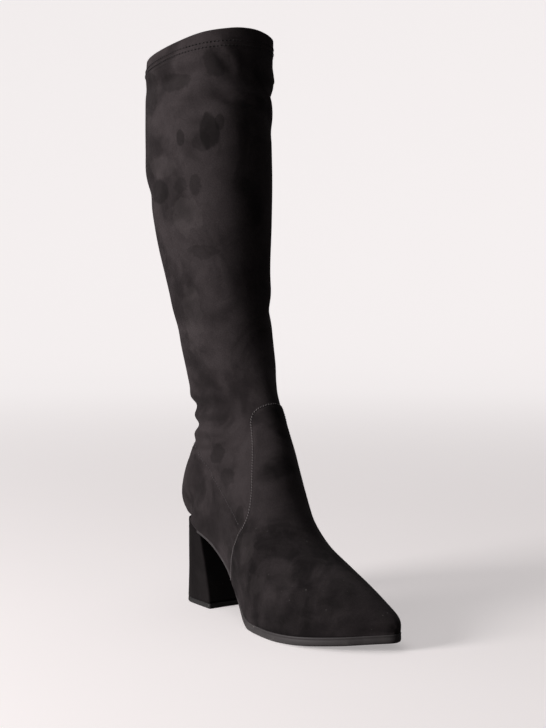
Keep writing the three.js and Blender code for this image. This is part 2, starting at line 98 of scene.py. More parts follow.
def blended(values: Array, place: Array) -> Array:
    """Blends a column smoothly around places, where each whole number is a row.

    Args:
        values: The column.
        place: Places along the rows.

    Returns:
        The blended values, in the places' own shape.
    """
    last = len(values) - 1
    row = np.clip(np.floor(place), 0, last - 1).astype(int)
    a, b, c, d = (values[np.clip(row + step, 0, last)] for step in (-1, 0, 1, 2))
    t = place - row
    return b + 0.5 * t * (c - a + t * (2 * a - 5 * b + 4 * c - d + t * (3 * (b - c) + d - a)))


def smoothstep(value: Array, low: float, high: float) -> Array:
    """A soft step of a value, from 0 at low to 1 at high."""
    t = np.clip((np.asarray(value, float) - low) / (high - low), 0, 1)
    return t * t * (3 - 2 * t)


def unit(vectors: Array) -> Array:
    """Directions of unit length."""
    return vectors / np.maximum(np.linalg.norm(vectors, axis=-1, keepdims=True), 1e-9)


def between(points: Array, marks: Array) -> Array:
    """Points at marks along a line of points, where each whole number is a point."""
    index = np.arange(len(points))
    return np.stack([np.interp(marks, index, points[:, axis]) for axis in range(3)], 1)


# The sole line and the tread, from the heel's back to the toe. Distances along are in percent of the
# length, heights in percent of the heel's height, half widths in percent of the ball's width.
SOLE_ROWS = columns(
    "along rise thick outer inner mid",
    [
        [0, 100.0, 3.0, 33.8, 33.8, 0.0],
        [10, 91.0, 3.0, 33.0, 32.5, 0.0],
        [20, 79.5, 3.0, 32.5, 31.0, 0.0],
        [30, 60.0, 3.4, 32.5, 30.0, -1.2],
        [40, 30.0, 4.6, 35.0, 30.0, -2.5],
        [50, 11.6, 7.2, 42.5, 37.5, -3.8],
        [60, 9.8, 7.3, 48.0, 47.5, -3.8],
        [70, 10.0, 7.2, 50.0, 50.0, -1.9],
        [80, 11.9, 7.2, 44.4, 44.4, 0.6],
        [90, 15.3, 7.2, 30.2, 30.2, 8.0],
        [100, 19.2, 7.2, 10.0, 10.0, 21.0],
    ],
)
# Sections of the foot, from the toe to the heel's back. Each runs from its rear, on the sole line or lifted
# above it, to its fore on the top line, in percent of the length, of the heel's and the throat's height and
# of the ball's width. Belly, swell, under and over shape its lower and upper halves.
FOOT_ROWS = columns(
    "rear lift fore high outer inner belly swell under over",
    [
        [99.9, 0, 100.0, 10.4, 2.6, 2.6, 0.4, 0.7, 2.2, 2.0],
        [98.8, 0, 99.3, 13.2, 8.9, 8.9, 0.4, 0.7, 2.2, 2.0],
        [95.5, 0, 96.5, 16.4, 19.2, 19.2, 0.38, 0.7, 2.2, 2.1],
        [89.8, 0, 90.5, 21.6, 31.4, 31.4, 0.35, 0.7, 2.2, 2.1],
        [81.5, 0, 81.5, 28.2, 43.8, 43.8, 0.32, 0.7, 2.2, 2.05],
        [72.0, 0, 71.5, 35.8, 50.0, 50.0, 0.28, 0.7, 2.2, 1.95],
        [61.7, 0, 62.5, 44.7, 49.5, 48.5, 0.26, 0.7, 2.2, 1.9],
        [51.4, 0, 55.9, 56.8, 48.0, 43.0, 0.3, 0.7, 2.2, 1.9],
        [41.2, 0, 52.2, 69.0, 45.0, 40.0, 0.34, 0.7, 2.2, 1.95],
        [30.9, 0, 49.6, 78.2, 41.5, 38.0, 0.36, 0.65, 2.2, 2.0],
        [20.6, 0, 47.2, 85.2, 39.0, 37.5, 0.38, 0.55, 2.2, 2.05],
        [10.3, 0, 45.1, 91.6, 38.5, 37.5, 0.38, 0.4, 2.2, 2.1],
        [4.6, 0, 44.0, 95.2, 38.8, 38.2, 0.38, 0.38, 2.2, 2.1],
        [1.0, 0, 43.1, 98.2, 39.2, 38.7, 0.38, 0.38, 2.2, 2.1],
        [-4.8, 12, 41.4, 103.6, 39.5, 39.0, 0.42, 0.5, 3.0, 2.1],
        [-4.7, 34, 39.4, 109.4, 38.5, 38.0, 0.45, 0.5, 2.6, 2.1],
    ],
)
# Sections of the shaft, from the ankle to the collar, in percent of the length, of the collar's height and of
# the calf's width.
SHAFT_ROWS = columns(
    "rear low fore high outer inner mid belly under over",
    [
        [1.2, 25.7, 37.6, 42.6, 30.5, 30.0, 0.0, 0.48, 2.3, 2.1],
        [3.9, 29.2, 36.0, 44.4, 31.0, 30.5, 0.0, 0.5, 2.1, 2.1],
        [4.5, 33.4, 34.6, 46.4, 32.0, 31.5, -0.3, 0.5, 2.1, 2.2],
        [1.6, 38.0, 33.4, 48.7, 34.0, 33.5, -1.0, 0.5, 2.1, 2.2],
        [-0.6, 43.0, 32.6, 51.4, 35.5, 35.0, -2.0, 0.5, 2.1, 2.2],
        [-4.2, 50.8, 31.8, 56.2, 37.5, 37.0, -4.0, 0.5, 2.2, 2.3],
        [-9.4, 59.5, 31.5, 62.8, 40.5, 40.5, -5.5, 0.5, 2.2, 2.3],
        [-14.5, 68.5, 32.6, 70.6, 44.0, 44.0, -7.5, 0.5, 2.2, 2.4],
        [-17.5, 81.2, 32.9, 83.2, 46.5, 46.5, -9.5, 0.5, 2.3, 2.4],
        [-17.2, 90.5, 33.0, 93.6, 46.5, 46.5, -10.0, 0.5, 2.3, 2.4],
        [-16.4, 98.3, 33.2, 102.8, 46.0, 46.0, -10.0, 0.5, 2.3, 2.4],
    ],
)
# The heel block's section at levels in percent of the heel's height, in millimetres.
HEEL_ROWS = columns(
    "level back breast outer inner",
    [
        [0, 24.0, 24.0, 26.5, 25.5],
        [35, 24.2, 17.6, 25.6, 24.6],
        [70, 24.6, 9.2, 25.2, 24.2],
        [112, 25.0, -1.0, 25.0, 24.0],
    ],
)
# The vamp panel's edge, from its tongue to the waist: distances forward of the origin and heights above
# the floor.
VAMP_EDGE = columns(
    "fore height",
    [
        [81, 180.6],
        [79, 179.5],
        [76, 176],
        [74, 171],
        [74, 164],
        [77, 156],
        [85, 131],
        [92, 110],
        [95, 94],
        [93, 84],
        [87, 76],
        [80, 63],
        [74, 52],
        [66, 34],
    ],
)
# The counter's seam, from the vamp up to the back of the heel, in the same way.
COUNTER_EDGE = columns(
    "fore height",
    [[88, 78], [75, 87.5], [59, 97.5], [47, 107], [36, 115], [26, 124.6], [10, 136], [-6, 143], [-17, 146]],
)


@dataclass
class BootForm:
    """The boot's outside as a function of a place along it and a turn round it, in millimetres."""

    length: float = 250.0
    ball_width: float = 80.0
    heel_height: float = 73.0
    throat_height: float = 176.0
    collar_height: float = 474.0
    calf_width: float = 100.0
    heel_back: float = 24.0
    heel_round: float = 27.0
    toe_round: float = 10.0
    underfoot: float = 0.25
    zip_first: float = 13.0
    zip_low: float = -15.0
    zip_high: float = -20.0
    zip_halvings: int = 24
    search_places: tuple[float, float, int] = (6, 18, 241)
    search_turns: tuple[float, float, int] = (0.01, 0.495, 120)
    search_steps: int = 8
    size: dict[str, Array] = field(default_factory=dict)

    def __post_init__(self) -> None:
        """Works out the sections' real sizes."""
        foot, shaft = FOOT_ROWS, SHAFT_ROWS
        line = self.sole_line(foot["rear"])
        lifted = foot["lift"] > 0
        wide = self.ball_width / 100
        calf = self.calf_width / 100
        level = np.ones(len(shaft["rear"]))
        pairs = {
            "rear_y": (self.plan(foot["rear"]), self.plan(shaft["rear"])),
            "rear_z": (
                line["z"] + foot["lift"] / 100 * self.heel_height,
                shaft["low"] / 100 * self.collar_height,
            ),
            "fore_y": (self.plan(foot["fore"]), self.plan(shaft["fore"])),
            "fore_z": (foot["high"] / 100 * self.throat_height, shaft["high"] / 100 * self.collar_height),
            "outer": (foot["outer"] * wide, shaft["outer"] * calf),
            "inner": (foot["inner"] * wide, shaft["inner"] * calf),
            "mid": (line["mid"], shaft["mid"] * calf),
            "outer_edge": (np.where(lifted, 1, line["outer"] / (foot["outer"] * wide)), level),
            "inner_edge": (np.where(lifted, 1, line["inner"] / (foot["inner"] * wide)), level),
            "flat": (np.where(lifted, 0.0, 1.0), level * 0),
            "swell": (foot["swell"], level * 0.5),
            "belly": (foot["belly"], shaft["belly"]),
            "under": (foot["under"], shaft["under"]),
            "over": (foot["over"], shaft["over"]),
        }
        self.size = {name: np.concatenate(pair) for name, pair in pairs.items()}

    @property
    def last(self) -> int:
        """The place of the collar."""
        return len(self.size["mid"]) - 1

    def plan(self, along: Array) -> Array:
        """Y at a distance along the boot in percent of its length."""
        return self.heel_back - np.asarray(along, float) / 100 * self.length

    def sole_line(self, along: Array) -> dict[str, Array]:
        """The line where upper and sole meet.

        Args:
            along: Distances from the heel's back, in percent of the length.

        Returns:
            Its height z, the tread's height, the half widths outer and inner, and the middle line mid.
        """
        along = np.asarray(along, float)
        place = np.clip(along, 0, 100) / 10

        def rounding(depth: Array, size: float) -> Array:
            """The share of the width left at a depth from a round end."""
            return np.sqrt(1 - np.maximum(0, 1 - np.maximum(depth, 0) / size) ** 2)

        back = rounding(self.heel_back - self.plan(along), self.heel_round)
        ends = back * rounding(self.plan(along) - self.plan(100), self.toe_round)
        z = blended(SOLE_ROWS["rise"], place) * self.heel_height / 100
        wide = self.ball_width / 100
        return {
            "z": z,
            "tread": np.maximum(0, z - blended(SOLE_ROWS["thick"], place)),
            "outer": blended(SOLE_ROWS["outer"], place) * wide * ends,
            "inner": blended(SOLE_ROWS["inner"], place) * wide * ends,
            "mid": blended(SOLE_ROWS["mid"], place) * wide,
        }

    def skin(self, place: Array, turn: Array) -> Array:
        """Points of the outside.

        Args:
            place: 0 at the toe, up to the last section at the collar.
            turn: 0 at the sole or back, 0.25 on the outer side, 0.5 on the shin, 0.75 on the inner side.

        Returns:
            The points, with X, Y and Z in the last axis.
        """
        place, turn = np.broadcast_arrays(np.asarray(place, float), np.asarray(turn, float))
        at = {name: blended(values, place) for name, values in self.size.items()}
        turned = turn - np.floor(turn)
        outer_side = turned < 0.5
        share = 1 - np.abs(1 - 4 * np.where(outer_side, turned, 1 - turned))
        lower = (turned < 0.25) | (turned > 0.75)
        angle = share * math.pi / 2
        power = 2 / np.where(lower, at["under"], at["over"])
        edge = np.where(outer_side, at["outer_edge"], at["inner_edge"])
        flat = np.clip(at["flat"], 0, 1)
        climb = np.maximum(0, (share - self.underfoot) / (1 - self.underfoot)) ** 1.3
        across = np.minimum(share / self.underfoot, 1)
        square = np.where(share < self.underfoot, edge * across, edge + (1 - edge) * climb ** at["swell"])
        sine = np.maximum(np.sin(angle), 0) ** power
        cosine = np.maximum(np.cos(angle), 0) ** power
        breadth = np.where(lower, flat * square + (1 - flat) * sine, sine)
        height = np.where(lower, flat * climb + (1 - flat) * (1 - cosine), cosine)
        belly = at["belly"]
        up = np.where(lower, belly * height, belly + (1 - belly) * height)
        x = at["mid"] + breadth * np.where(outer_side, -at["outer"], at["inner"])
        y = at["rear_y"] * (1 - up) + at["fore_y"] * up
        z = at["rear_z"] * (1 - up) + at["fore_z"] * up
        return np.stack([x, y, z], -1)

    def inwards(self, place: Array, turn: Array) -> Array:
        """Directions into the boot at points of its outside.

        Args:
            place: Places of the points.
            turn: Turns of the points.

        Returns:
            The directions, of unit length.
        """
        place, turn = np.broadcast_arrays(np.asarray(place, float), np.asarray(turn, float))
        low = np.clip(place - NUDGE, 0, self.last)
        high = np.clip(place + NUDGE, 0, self.last)
        along = self.skin(high, turn) - self.skin(low, turn)
        around = self.skin(place, turn + NUDGE) - self.skin(place, turn - NUDGE)
        return unit(np.cross(along, around))

    def at(self, place: Array, turn: Array, depth: Array) -> Array:
        """Points at a depth under the outside, or above it where the depth is negative."""
        return self.skin(place, turn) + self.inwards(place, turn) * np.asarray(depth, float)[..., None]

    def girth(self, place: Array) -> Array:
        """The length once round the boot.

        Args:
            place: The places.

        Returns:
            The length at each place.
        """
        turns = np.linspace(0, 1, 129)
        ring = self.skin(np.asarray(place, float)[..., None], turns)
        return np.linalg.norm(np.diff(ring, axis=-2), axis=-1).sum(-1)

    def zip_turn(self, place: Array) -> Array:
        """How far round the boot the zip runs, found by halving between the shin and the back.

        Args:
            place: The places.

        Returns:
            The turn at each place.
        """
        place = np.asarray(place, float)
        way = (place - self.zip_first) / (self.last - self.zip_first)
        target = self.zip_low + (self.zip_high - self.zip_low) * way
        front, back = np.full(place.shape, 0.5), np.full(place.shape, 1.0)
        for _ in range(self.zip_halvings):
            middle = (front + back) / 2
            before = self.skin(place, middle)[..., 1] < target
            front, back = np.where(before, middle, front), np.where(before, back, middle)
        return (front + back) / 2

    def locate(self, fore: Array, height: Array, side: Side) -> tuple[Array, Array]:
        """Finds the places and turns of points that are known from the side view.

        Args:
            fore: Distances forward of the origin.
            height: Heights above the floor.
            side: The side of the boot that the points are on.

        Returns:
            Their places and their turns.
        """
        steps = np.linspace(*self.search_places), np.linspace(*self.search_turns)
        places, turns = np.meshgrid(*steps, indexing="ij")
        if side is Side.INNER:
            turns = 1 - turns
        grid = self.skin(places, turns)
        target = np.stack([-np.asarray(fore, float), np.asarray(height, float)], -1)
        apart = ((grid[None, ..., 1:] - target[:, None, None, :]) ** 2).sum(-1).reshape(len(target), -1)
        nearest = apart.argmin(1)
        place, turn = places.ravel()[nearest], turns.ravel()[nearest]
        for _ in range(self.search_steps):
            here = self.skin(place, turn)[:, 1:]
            by_place = (self.skin(place + NUDGE, turn)[:, 1:] - here) / NUDGE
            by_turn = (self.skin(place, turn + NUDGE)[:, 1:] - here) / NUDGE
            error = target - here
            det = by_place[:, 0] * by_turn[:, 1] - by_place[:, 1] * by_turn[:, 0]
            det = np.where(np.abs(det) < 1.0, np.sign(det) + (det == 0), det)
            step_place = (error[:, 0] * by_turn[:, 1] - error[:, 1] * by_turn[:, 0]) / det
            step_turn = (by_place[:, 0] * error[:, 1] - by_place[:, 1] * error[:, 0]) / det
            place = place + np.clip(step_place, -0.1, 0.1)
            turn = turn + np.clip(step_turn, -0.01, 0.01)
        return place, turn


# --------------------------------------------------------------------------- meshes


def make_piece(name: str, points: Array, faces: Iterable[Sequence[int]], slot: Slot) -> bpy.types.Object:
    """Makes a smooth mesh piece that rides on the boot.

    Args:
        name: The piece's name.
        points: Its points in millimetres.
        faces: Its faces, as tuples of point numbers.
        slot: The record's material slot; it is not used.

    Returns:
        The new object.
    """
    mesh = bpy.data.meshes.new(name)
    mesh.from_pydata((np.asarray(points) * MM).tolist(), [], list(faces))
    mesh.polygons.foreach_set("use_smooth", [True] * len(mesh.polygons))
    mesh.update()
    piece = bpy.data.objects.new(name, mesh)
    bpy.context.scene.collection.objects.link(piece)
    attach(piece, BODY)
    return piece


def grid_faces(rows: int, across: int, closed: bool = False, flip: bool = False) -> Faces:
    """Quads over a grid of points.

    Args:
        rows: The number of rows.
        across: The number of points in a row.
        closed: Whether each row's last point joins its first.
        flip: Whether the faces are turned over.

    Returns:
        The faces.
    """
    faces = []
    for i in range(rows - 1):
        for j in range(across if closed else across - 1):
            k = (j + 1) % across
            quad = (i * across + j, i * across + k, (i + 1) * across + k, (i + 1) * across + j)
            faces.append(quad[::-1] if flip else quad)
    return faces


def capsule(length: float, radius: float, sides: int = 8) -> Shape:
    """A short rounded rod along X, for one stitch.

    Args:
        length: Its whole length.
        radius: Its radius.
        sides: The number of sides round it.

    Returns:
        Its points and faces.
    """
    rings = [(-0.5, 0.25), (-0.36, 0.8), (0.0, 1.0), (0.36, 0.8), (0.5, 0.25)]
    angles = np.linspace(0, 2 * math.pi, sides, endpoint=False)
    points = [
        (share * length, radius * scale * math.cos(a), radius * scale * math.sin(a))
        for share, scale in rings
        for a in angles
    ]
    faces = grid_faces(len(rings), sides, closed=True)
    faces.append(tuple(range(sides))[::-1])
    faces.append(tuple(range((len(rings) - 1) * sides, len(rings) * sides)))
    return np.array(points), faces


def repeated(shape: Shape, centres: Array, along: Array, out: Array) -> Shape:
    """Copies a small shape to many places as one mesh.

    Args:
        shape: The shape's points and faces.
        centres: A centre for each copy.
        along: The direction of each copy's X axis.
        out: The direction of each copy's Z axis.

    Returns:
        The joined points and faces.
    """
    points, faces = shape
    x = unit(along)
    z = unit(out - (out * x).sum(-1, keepdims=True) * x)
    y = np.cross(z, x)
    axes = np.stack([x, y, z], 1)
    placed = np.einsum("pk,nkc->npc", points, axes) + centres[:, None, :]
    count = len(points)
    joined = [tuple(v + i * count for v in face) for i in range(len(centres)) for face in faces]
    return placed.reshape(-1, 3), joined


def even_steps(points: Array, pitch: float) -> Array:
    """Parts a line of points into even steps.

    Args:
        points: The line's points.
        pitch: The length of a step.

    Returns:
        Marks along the line, where each whole number is a point.
    """
    lengths = np.linalg.norm(np.diff(points, axis=0), axis=1)
    run = np.concatenate([[0], np.cumsum(lengths)])
    marks = np.arange(pitch / 2, run[-1], pitch)
    return np.interp(marks, run, np.arange(len(points)))


# --------------------------------------------------------------------------- shader groups


class Graph:
    """A node tree with short ways to add nodes and join them."""

    def __init__(self, tree: bpy.types.NodeTree) -> None:
        """Starts on an emptied tree."""
        self.tree = tree
        tree.nodes.clear()

    def node(self, kind: str, **settings: Setting) -> bpy.types.Node:
        """Adds a node.

        Args:
            kind: The node's type.
            **settings: Its own settings.

        Returns:
            The node.
        """
        made = self.tree.nodes.new(kind)
        for name, value in settings.items():
            setattr(made, name, value)
        return made

    def feed(self, node: bpy.types.Node, **inputs: Value) -> bpy.types.Node:
        """Sets or links a node's inputs.

        Args:
            node: The node.
            **inputs: A value or a socket for each input, named with underscores for spaces, or by its
                number as _0, _1.

        Returns:
            The same node.
        """
        for name, value in inputs.items():
            key = int(name[1:]) if name[0] == "_" else name.replace("_", " ")
            socket = node.inputs[key]
            if isinstance(value, Socket):
                self.tree.links.new(value, socket)
            else:
                socket.default_value = value
        return node

    def math(self, operation: str, *values: Value) -> Socket:
        """Adds a math node.

        Args:
            operation: What it works out.
            *values: Its inputs in order.

        Returns:
            Its result.
        """
        made = self.node("ShaderNodeMath", operation=operation)
        self.feed(made, **{f"_{i}": value for i, value in enumerate(values)})
        return made.outputs[0]

    def vector(self, operation: str, **inputs: Value) -> bpy.types.Node:
        """Adds a vector math node with its inputs."""
        return self.feed(self.node("ShaderNodeVectorMath", operation=operation), **inputs)

    def ramp(self, value: Value, low: float, high: float, to_low: float = 0, to_high: float = 1) -> Socket:
        """Adds a soft step of a value.

        Args:
            value: The value.
            low: The value at which the step starts.
            high: The value at which it ends.
            to_low: The result at the start.
            to_high: The result at the end.

        Returns:
            The stepped value.
        """
        made = self.node("ShaderNodeMapRange", interpolation_type="SMOOTHSTEP")
        self.feed(made, Value=value, From_Min=low, From_Max=high, To_Min=to_low, To_Max=to_high)
        return made.outputs[0]

    def mix(self, share: Value, first: Value, second: Value) -> Socket:
        """Adds a blend of two colours.

        Args:
            share: How much of the second colour there is, from 0 to 1.
            first: The first colour.
            second: The second colour.

        Returns:
            The blended colour.
        """
        made = self.node("ShaderNodeMix", data_type="RGBA")
        # A Mix node's colour sockets come after those for its numbers and vectors.
        self.feed(made, _0=share, _6=first, _7=second)
        return made.outputs[2]

    def noise(
        self, vector: Value, scale: float, detail: float = 3, rough: float = 0.55, swirl: float = 0
    ) -> Socket:
        """Adds a noise texture.

        Args:
            vector: Where it is read.
            scale: How many lumps there are to a metre.
            detail: How many finer layers it has.
            rough: How strong the finer layers are.
            swirl: How far it is drawn out of shape.

        Returns:
            Its value.
        """
        made = self.node("ShaderNodeTexNoise")
        self.feed(made, Vector=vector, Scale=scale, Detail=detail, Roughness=rough, Distortion=swirl)
        return made.outputs[0]

    def place(self) -> Socket:
        """Object coordinates, which are metres in the frame."""
        return self.node("ShaderNodeTexCoord").outputs["Object"]

    def axes(self, place: Value) -> bpy.types.NodeOutputs:
        """X, Y and Z of a place."""
        return self.feed(self.node("ShaderNodeSeparateXYZ"), Vector=place).outputs


def new_group(
    name: str, inputs: dict[str, tuple[str, Value]], outputs: dict[str, str]
) -> tuple[bpy.types.NodeTree, Graph, bpy.types.NodeOutputs, bpy.types.Node]:
    """Makes a shader group with named sockets.

    Args:
        name: The group's name.
        inputs: Each input's kind and default.
        outputs: Each output's kind.

    Returns:
        The group, its graph, the values given to it and its output node.
    """
    group = bpy.data.node_groups.new(name, "ShaderNodeTree")
    for label, (kind, value) in inputs.items():
        socket = group.interface.new_socket(name=label, in_out="INPUT", socket_type=f"NodeSocket{kind}")
        socket.default_value = value
    for label, kind in outputs.items():
        group.interface.new_socket(name=label, in_out="OUTPUT", socket_type=f"NodeSocket{kind}")
    graph = Graph(group)
    return group, graph, graph.node("NodeGroupInput").outputs, graph.node("NodeGroupOutput")


def nap_group() -> bpy.types.NodeTree:
    """Builds the pile of a brushed cloth: cloudy shades where it lies over, and a fine fibre grain.

    Returns:
        The group.
    """
    group, graph, given, out = new_group(
        "Nap",
        {
            "Colour": ("Color", (0.03, 0.03, 0.03, 1)),
            "Brushed": ("Color", (0.06, 0.06, 0.06, 1)),
            "Clouds": ("Float", 0.5),
            "Fibre": ("Float", 1.0),
        },
        {"Colour": "Color", "Roughness": "Float", "Height": "Float"},
    )
    place = graph.place()
    clouds = graph.ramp(graph.noise(place, scale=14, detail=4, rough=0.5, swirl=1.2), 0.38, 0.58)
    wisps = graph.ramp(graph.noise(place, scale=60, detail=5, rough=0.6, swirl=0.8), 0.36, 0.66)
    brushed = graph.math("MULTIPLY_ADD", clouds, 0.72, graph.math("MULTIPLY", wisps, 0.28))
    fibre = graph.noise(place, scale=2600, detail=2, rough=0.6)
    pile = graph.noise(place, scale=900, detail=3, rough=0.6)
    share = graph.math("MULTIPLY", brushed, given["Clouds"])
    colour = graph.mix(share, given["Colour"], given["Brushed"])
    grain = graph.ramp(graph.math("MULTIPLY_ADD", fibre, 0.6, graph.math("MULTIPLY", pile, 0.4)), 0.3, 0.7)
    level = graph.math("MULTIPLY_ADD", grain, 0.5, 0.72)
    speckled = graph.vector("SCALE", _0=colour, Scale=level)
    height = graph.math("MULTIPLY", graph.math("ADD", fibre, pile), given["Fibre"])
    graph.feed(out, Colour=speckled.outputs[0], Height=height)
    graph.feed(out, Roughness=graph.math("MULTIPLY_ADD", brushed, -0.1, 0.97))
    return group


def mark_group() -> bpy.types.NodeTree:
    """Builds one soft-edged mark: a mask that is 1 inside an egg-shaped spot and 0 outside it.

    Returns:
        The group.
    """
    group, graph, given, out = new_group(
        "Mark",
        {"Centre": ("Vector", (0, 0, 0)), "Size": ("Vector", (0.01, 0.01, 0.01)), "Ragged": ("Float", 0.5)},
        {"Mask": "Float"},
    )
    place = graph.place()
    away = graph.vector("SUBTRACT", _0=place, _1=given["Centre"])
    share = graph.vector("DIVIDE", _0=away.outputs[0], _1=given["Size"])
    length = graph.vector("LENGTH", _0=share.outputs[0]).outputs["Value"]
    uneven = graph.math("SUBTRACT", graph.noise(place, scale=120), 0.5)
    reach = graph.math("ADD", length, graph.math("MULTIPLY", uneven, given["Ragged"]))
    graph.feed(out, Mask=graph.ramp(reach, 1.12, 0.88))
    return group


def dust_group() -> bpy.types.NodeTree:
    """Builds pale specks of dust and lint, thicker towards the floor.

    Returns:
        The group.
    """
    group, graph, given, out = new_group(
        "Dust",
        {
            "Colour": ("Color", (0, 0, 0, 1)),
            "Dust": ("Color", (0.3, 0.29, 0.27, 1)),
            "Amount": ("Float", 0.5),
        },
        {"Colour": "Color", "Mask": "Float"},
    )
    place = graph.place()
    cells = graph.node("ShaderNodeTexVoronoi", feature="F1")
    graph.feed(cells, Vector=place, Scale=210, Randomness=1)
    chance = graph.feed(graph.node("ShaderNodeSeparateColor"), Color=cells.outputs["Color"]).outputs[0]
    size = graph.math("MULTIPLY", graph.math("POWER", chance, 5), 0.14)
    speck = graph.ramp(graph.math("SUBTRACT", cells.outputs["Distance"], size), 0.02, -0.02)
    low = graph.ramp(graph.axes(place)["Z"], 0.16, 0.0, 0.12, 1.0)
    film = graph.math("MULTIPLY", graph.ramp(graph.noise(place, scale=70, detail=4), 0.5, 0.85), 0.1)
    mask = graph.math("MULTIPLY", graph.math("MAXIMUM", speck, film), low)
    mask = graph.math("MULTIPLY", mask, given["Amount"])
    graph.feed(out, Colour=graph.mix(mask, given["Colour"], given["Dust"]), Mask=mask)
    return group


def weave_group() -> bpy.types.NodeTree:
    """Builds a fine knit or weave: crossing waves of yarn with uneven threads.

    Returns:
        The group.
    """
    group, graph, given, out = new_group(
        "Weave",
        {
            "Colour": ("Color", (0.03, 0.03, 0.03, 1)),
            "Yarn": ("Color", (0.08, 0.08, 0.08, 1)),
            "Rows": ("Float", 1200.0),
        },
        {"Colour": "Color", "Height": "Float"},
    )
    place = graph.place()
    axes = graph.axes(place)
    across = graph.math("ADD", axes["X"], graph.math("MULTIPLY", axes["Y"], 0.8))
    waves = [graph.math("SINE", graph.math("MULTIPLY", way, given["Rows"])) for way in (axes["Z"], across)]
    yarn = graph.math("MULTIPLY_ADD", graph.math("MULTIPLY", *waves), 0.5, 0.5)
    uneven = graph.math("MULTIPLY", yarn, graph.ramp(graph.noise(place, scale=500), 0.25, 0.75, 0.5, 1.0))
    graph.feed(out, Colour=graph.mix(uneven, given["Colour"], given["Yarn"]), Height=uneven)
    return group


@dataclass
class Groups:
    """The shader groups that the finishes share, each built once."""

    nap: bpy.types.NodeTree = field(default_factory=nap_group)
    mark: bpy.types.NodeTree = field(default_factory=mark_group)
    dust: bpy.types.NodeTree = field(default_factory=dust_group)
    weave: bpy.types.NodeTree = field(default_factory=weave_group)

    def put(self, graph: Graph, group: bpy.types.NodeTree, **inputs: Value) -> bpy.types.NodeOutputs:
        """Places a group in a graph with its inputs, and gives its outputs."""
        return graph.feed(graph.node("ShaderNodeGroup", node_tree=group), **inputs).outputs


# --------------------------------------------------------------------------- finishes


def started(name: str, **uniform: Value) -> tuple[bpy.types.Material, Graph, bpy.types.Node]:
    """Starts a material with a Principled shader.

    Args:
        name: The material's name.
        **uniform: Values that are the same all over, set on the shader's own sockets.

    Returns:
        The material, its graph and the shader.
    """
    material = bpy.data.materials.new(name)
    material.use_nodes = True
    graph = Graph(material.node_tree)
    shader = graph.node("ShaderNodeBsdfPrincipled")
    graph.feed(shader, **uniform)
    out = graph.node("ShaderNodeOutputMaterial")
    graph.tree.links.new(shader.outputs[0], out.inputs["Surface"])
    return material, graph, shader


def bumped(graph: Graph, shader: bpy.types.Node, height: Socket, distance: float, strength: float) -> None:
    """Adds a bump to a shader.

    Args:
        graph: The material's graph.
        shader: The shader.
        height: The bump's height, from 0 to about 1.
        distance: The height of a full bump, in metres.
        strength: The share of the bump that shows.
    """
    bump = graph.node("ShaderNodeBump")
    graph.feed(bump, Height=height, Distance=distance, Strength=strength)
    graph.feed(shader, Normal=bump.outputs[0])


@dataclass(frozen=True)
class Mark:
    """A mark on the suede, in millimetres, with the share of light or dark it adds."""

    centre: Triple
    size: Triple
    light: float
    ragged: float = 0.6


MARKS = (
    Mark((-40, -47.8, 404), (9, 8, 15), -0.42, 0.7),
    Mark((-45, -43, 396), (9, 9, 8), -0.22, 1.0),
    Mark((-53.4, -23.3, 400), (6, 4.5, 7), -0.35),
    Mark((-33, -53, 412), (4, 4, 7), -0.3),
    Mark((-56, 13, 357), (12, 17, 11), -0.42, 0.35),
    Mark((-51, -20, 361), (9, 9, 7), -0.25, 1.4),
    Mark((-46, -36, 360), (8, 6, 8), -0.25, 1.4),
    Mark((-54.5, 26.5, 440), (12, 16, 20), -0.3, 1.2),
    Mark((-53, -15, 447), (12, 24, 7), -0.28, 1.2),
    Mark((-34, -50, 460), (12, 10, 12), -0.25, 1.2),
    Mark((-44, -38, 306), (14, 17, 6), -0.2, 1.4),
    Mark((-56, 6, 377), (12, 22, 9), 0.05, 0.6),
    Mark((-50, -25, 335), (14, 16, 16), 0.07, 1.4),
    Mark((-40, -20, 250), (14, 12, 30), 0.06, 1.4),
    Mark((-30, -42, 136), (12, 10, 9), -0.28, 1.2),
    Mark((-29, -58, 118), (12, 10, 8), -0.24, 1.2),
    Mark((-33, -84, 88), (10, 7, 9), -0.28, 1.2),
    Mark((-34, -71, 50), (10, 12, 10), -0.3, 1.2),
    Mark((-36, -88, 42), (10, 10, 9), -0.24, 1.2),
    Mark((-36, -103, 66), (12, 9, 14), 0.045, 1.6),
    Mark((-36, -121, 40), (12, 12, 10), 0.04, 1.6),
    Mark((-41.8, -150.8, 20), (1.1, 1.1, 0.9), 0.6, 0.3),
    Mark((-42.2, -134.2, 12), (1.1, 1.3, 0.8), 0.6, 0.3),
    Mark((-35.2, -176.3, 15), (1.0, 1.0, 0.8), 0.5, 0.3),
    Mark((-32.7, -160, 44.4), (1.0, 1.0, 0.9), 0.5, 0.3),
)


